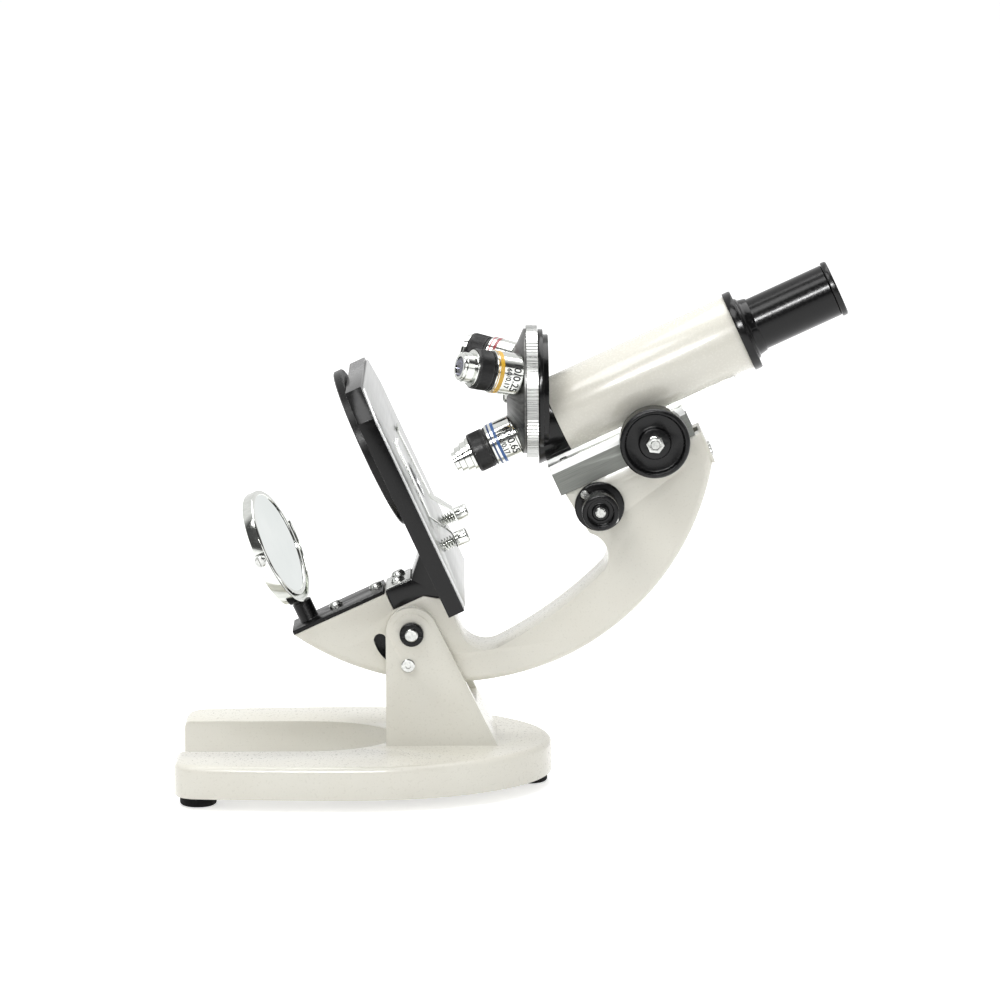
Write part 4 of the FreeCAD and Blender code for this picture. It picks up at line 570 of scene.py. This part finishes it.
def knurled_grip(name):
    axis = objective_axes[name]
    node = f"objective_{name}_grip"
    low, high, radius = axis.reach(node)
    length = high - low
    columns = 88
    piece = add_cylinder(f"grip_{name}", columns, radius, length)
    rows = 7
    start, finish = 0.24 * length, 0.9 * length
    pads = [start + (finish - start) * i / rows for i in range(rows + 1)]
    groove = [0.09 * length, 0.11 * length, 0.17 * length, 0.19 * length]
    cut_rings(piece, groove + pads)
    bpy.ops.object.mode_set(mode="OBJECT")
    for vertex in piece.data.vertices:
        angle = math.atan2(vertex.co.y, vertex.co.x)
        column = round(angle / (2 * math.pi) * columns) % columns
        inset = 0.0
        if groove[1] - 1e-6 < vertex.co.z < groove[2] + 1e-6:
            inset = 0.5 * MM
        for row, height in enumerate(pads[1:-1]):
            if abs(vertex.co.z - height) < 1e-6 and (row + column) % 2:
                inset = 0.4 * MM
        if vertex.co.z < 1e-6 or vertex.co.z > length - 1e-6:
            inset = 0.25 * MM
        shrink = 1 - inset / radius
        vertex.co.x *= shrink
        vertex.co.y *= shrink
    settle(piece, axis, low, "nosepiece", finishes["grip_black"])
    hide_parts(node)
    return piece


for name in OBJECTIVES:
    piece = knurled_grip(name)
    print(piece.name, len(piece.data.polygons), "faces")

# %% [markdown]
# A coloured band tells the powers apart at a glance: red for 4, yellow for 10, blue for 40. It is
# a thin painted ring let onto the barrel, with a finer line beside it.


# %% Colour bands
BANDS = {
    "x4": (rgb(150, 36, 46), ((3.0, 1.5), (1.0, 0.7)), rgb(176, 84, 96)),
    "x10": (rgb(214, 168, 44), ((1.4, 2.0), (0.5, 0.4)), rgb(190, 150, 60)),
    "x40": (rgb(34, 92, 160), ((3.1, 1.4), (1.1, 0.9)), rgb(24, 60, 112)),
}


def band(name, number, colour, below, width):
    """A ring round the barrel, its top a given distance below the barrel's end."""
    axis = objective_axes[name]
    _, high, radius = axis.reach(f"objective_{name}_barrel")
    piece = add_cylinder(f"band_{name}_{number}", 96, radius + 0.04 * MM, width)
    bpy.ops.mesh.select_mode(type="FACE")
    bpy.ops.object.mode_set(mode="OBJECT")
    for face in piece.data.polygons:
        face.select = abs(face.normal.z) > 0.9
    bpy.ops.object.mode_set(mode="EDIT")
    bpy.ops.mesh.inset(thickness=0.4 * MM, depth=0)
    bpy.ops.mesh.delete(type="FACE")
    bpy.ops.object.mode_set(mode="OBJECT")
    material = paint(f"band_{name}_{number}_paint", colour, colour, 0.3, coat=0.3)
    return settle(piece, axis, high - below - width, "nosepiece", material)


for name, (colour, lines, second) in BANDS.items():
    for number, (below, width) in enumerate(lines):
        piece = band(name, number, second if number else colour, below * MM, width * MM)
        print(piece.name, round(width, 2), "mm wide")

# %% [markdown]
# The figures on each barrel are filled engraving: plain numbers for the power and the aperture.
# Text is turned into a mesh, then every point is wrapped onto the barrel, so the figures follow
# its curve and read from the side.


# %% Engraved figures
INK = paint("engraving_ink", rgb(30, 30, 32), rgb(42, 42, 44), 0.5, shine=0.2)


def figures(name, number, words, size, below):
    """Wrap a line of figures round the barrel, a distance below its end."""
    axis = objective_axes[name]
    _, high, radius = axis.reach(f"objective_{name}_barrel")
    bpy.ops.object.select_all(action="DESELECT")
    bpy.ops.object.text_add(location=(0, 0, 0))
    piece = bpy.context.object
    piece.name = f"figures_{name}_{number}"
    piece.data.body = words
    piece.data.size = size
    piece.data.align_x = "CENTER"
    piece.data.extrude = 0.03 * MM
    piece.data.offset = 0.06 * MM
    bpy.ops.object.convert(target="MESH")
    surface = radius + 0.02 * MM
    for vertex in piece.data.vertices:
        around = -vertex.co.x / surface
        out = surface + vertex.co.z
        vertex.co = (out * math.cos(around), out * math.sin(around), -vertex.co.y)
    bpy.ops.object.mode_set(mode="EDIT")
    bpy.ops.mesh.select_all(action="SELECT")
    bpy.ops.mesh.normals_make_consistent(inside=False)
    bpy.ops.object.mode_set(mode="OBJECT")
    return settle(piece, axis, high - below, "nosepiece", INK)


APERTURES = {"x4": "4/0.10", "x10": "10/0.25", "x40": "40/0.65"}
TUBE_AND_COVER = "160/0.17"
for name, power in APERTURES.items():
    lines = ((power, 5.0, 8.2), (TUBE_AND_COVER, 3.4, 4.7))
    for number, (words, size, below) in enumerate(lines):
        piece = figures(name, number, words, size * MM, below * MM)
        print(piece.name, words)

# %% [markdown]
# The stop screw runs in a curved slot in the arm's side. The slot is dark inside because shade
# falls there, so its inner faces on the softened arm take the black finish as painted shade.
# They are picked by their distance from the pivot and their depth behind the arm's side.


# %% Painted shade in the slot
SLOT_NEAR, SLOT_FAR = 11.5 * MM, 19 * MM
SLOT_TOP, SLOT_BOTTOM = 0.9 * MM, 6 * MM


def paint_slot_shade():
    arm = bpy.data.objects["arm_casting_soft"]
    # The black finish here is painted shade for the inside of the slot.
    arm.data.materials.append(finishes["black_plate"])
    pivot = Vector(joints["arm_tilt"]["pos_m"])
    arm_low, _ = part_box("arm_casting")
    side = arm_low.y
    count = 0
    for face in arm.data.polygons:
        away = Vector((face.center.x - pivot.x, face.center.z - pivot.z))
        depth = face.center.y - side
        if SLOT_NEAR < away.length < SLOT_FAR and SLOT_TOP < depth < SLOT_BOTTOM:
            face.material_index = 1
            count += 1
    return count


print(paint_slot_shade(), "faces of the slot are black")

# %% [markdown]
# # The studio
# The object stands on a pale floor before a white backdrop, in soft light. The world is white
# where the camera, glossy metal and glass look, dark in front of the object, and a calmer grey
# for the light it gives. Three soft boxes shape the castings, and a narrow lamp draws the long
# line on the black tube.


# %% Camera
AIM_ALONG, AIM_UP = 41.3 * MM, 59.3 * MM
CAMERA_HEIGHT, CAMERA_SWING, CAMERA_DISTANCE = 10.3, 0.58, 2.1


def put_camera():
    pivot = Vector(joints["arm_tilt"]["pos_m"])
    aim = Vector((pivot.x + AIM_ALONG, 0.0, pivot.z + AIM_UP))
    height = math.radians(CAMERA_HEIGHT)
    swing = math.radians(CAMERA_SWING)
    level = math.cos(height)
    back = Vector((-math.sin(swing) * level, -math.cos(swing) * level, math.sin(height)))
    bpy.ops.object.camera_add(location=aim + back * CAMERA_DISTANCE)
    camera = bpy.context.object
    camera.rotation_mode = "QUATERNION"
    camera.rotation_quaternion = (-back).to_track_quat("-Z", "Y")
    camera.data.lens = 162
    camera.data.sensor_width = 36
    camera.data.clip_end = 50
    bpy.context.scene.camera = camera
    return camera


camera = put_camera()
print("camera at", [round(v, 3) for v in camera.location])


# %% Floor and world
def white_where_seen(sheet, seen, unseen):
    """Mix two shaders: the first for camera, glossy and glass rays, the second for the rest."""
    path = sheet.add("ShaderNodeLightPath")
    total = sheet.add("ShaderNodeMath", operation="MAXIMUM")
    sheet.join(path.outputs["Is Camera Ray"], total.inputs[0])
    sheet.join(path.outputs["Is Glossy Ray"], total.inputs[1])
    every = sheet.add("ShaderNodeMath", operation="MAXIMUM")
    sheet.join(total.outputs[0], every.inputs[0])
    sheet.join(path.outputs["Is Transmission Ray"], every.inputs[1])
    mix = sheet.add("ShaderNodeMixShader")
    sheet.join(every.outputs[0], mix.inputs[0])
    sheet.join(unseen, mix.inputs[1])
    sheet.join(seen, mix.inputs[2])
    return mix.outputs[0]


def make_floor():
    bpy.ops.object.select_all(action="DESELECT")
    bpy.ops.mesh.primitive_plane_add(size=12)
    floor = bpy.context.object
    floor.name = "floor"
    material, sheet, shader = start_material("floor_white")
    shader.inputs["Base Color"].default_value = (0.9, 0.9, 0.9, 1)
    shader.inputs["Roughness"].default_value = 0.9
    glow = sheet.add("ShaderNodeEmission")
    glow.inputs["Strength"].default_value = 0.56
    both = sheet.add("ShaderNodeAddShader")
    sheet.join(shader.outputs[0], both.inputs[0])
    sheet.join(glow.outputs[0], both.inputs[1])
    output = sheet.tree.nodes["Material Output"]
    sheet.join(white_where_seen(sheet, both.outputs[0], shader.outputs[0]), output.inputs["Surface"])
    floor.data.materials.append(material)
    floor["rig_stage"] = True
    return floor


def make_world():
    world = bpy.data.worlds.new("studio")
    bpy.context.scene.world = world
    world.use_nodes = True
    sheet = Sheet(world.node_tree)
    light = world.node_tree.nodes["Background"]
    light.inputs["Color"].default_value = (1, 1, 1, 1)
    light.inputs["Strength"].default_value = 0.5
    backdrop = sheet.add("ShaderNodeBackground")
    ray = sheet.add("ShaderNodeTexCoord").outputs["Generated"]
    parts = sheet.add("ShaderNodeSeparateXYZ")
    sheet.join(ray, parts.inputs[0])
    room = sheet.ramp(parts.outputs["Y"], -0.25, 0.05)
    sheet.join(sheet.blend(room, (0.07, 0.07, 0.07, 1), (1, 1, 1, 1)), backdrop.inputs["Color"])
    output = world.node_tree.nodes["World Output"]
    sheet.join(white_where_seen(sheet, backdrop.outputs[0], light.outputs[0]), output.inputs["Surface"])


make_floor()
make_world()
print("floor and world ready")


# %% Lamps
def lamp(name, place, size, watts, width=None):
    """A soft box that looks at the object's middle."""
    middle = (cad_low + cad_high) / 2
    bpy.ops.object.light_add(type="AREA", location=place)
    light = bpy.context.object
    light.name = name
    light.rotation_mode = "QUATERNION"
    light.rotation_quaternion = (middle - Vector(place)).to_track_quat("-Z", "Y")
    light.data.shape = "RECTANGLE"
    light.data.size = size
    light.data.size_y = width or size
    light.data.energy = watts
    return light


lamp("key_softbox", (-0.8, -0.7, 1.6), 0.8, 11)
lamp("fill_softbox", (1.3, -1.1, 0.7), 0.8, 3)
lamp("top_softbox", (0.2, 0.25, 1.6), 1.2, 16)

# A narrow lamp above the camera draws the bright line along the tubes. Only reflections show
# it, because diffuse rays and the camera don't see it.
STRIP_ANGLE, STRIP_DISTANCE = math.radians(27), 1.2
tube_normal = tube_axis.z.cross(NEAR).normalized()
tube_normal *= math.copysign(1.0, tube_normal.z)
towards = NEAR * math.cos(STRIP_ANGLE) + tube_normal * math.sin(STRIP_ANGLE)
strip = lamp("strip_lamp", tube_axis.origin + towards * STRIP_DISTANCE, 0.16, 16, width=0.6)
facing = Matrix((tube_normal, tube_axis.z, tube_normal.cross(tube_axis.z))).transposed()
if (facing @ Vector((0, 0, -1))).dot(-towards) < 0:
    facing = Matrix((-tube_normal, tube_axis.z, -tube_normal.cross(tube_axis.z))).transposed()
strip.rotation_quaternion = facing.to_quaternion()
strip.visible_diffuse = False
strip.visible_camera = False

scene = bpy.context.scene
scene.view_settings.view_transform = "Standard"

# %% Size of the object
low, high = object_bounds()
print("visual box", [round(s, 4) for s in high - low])
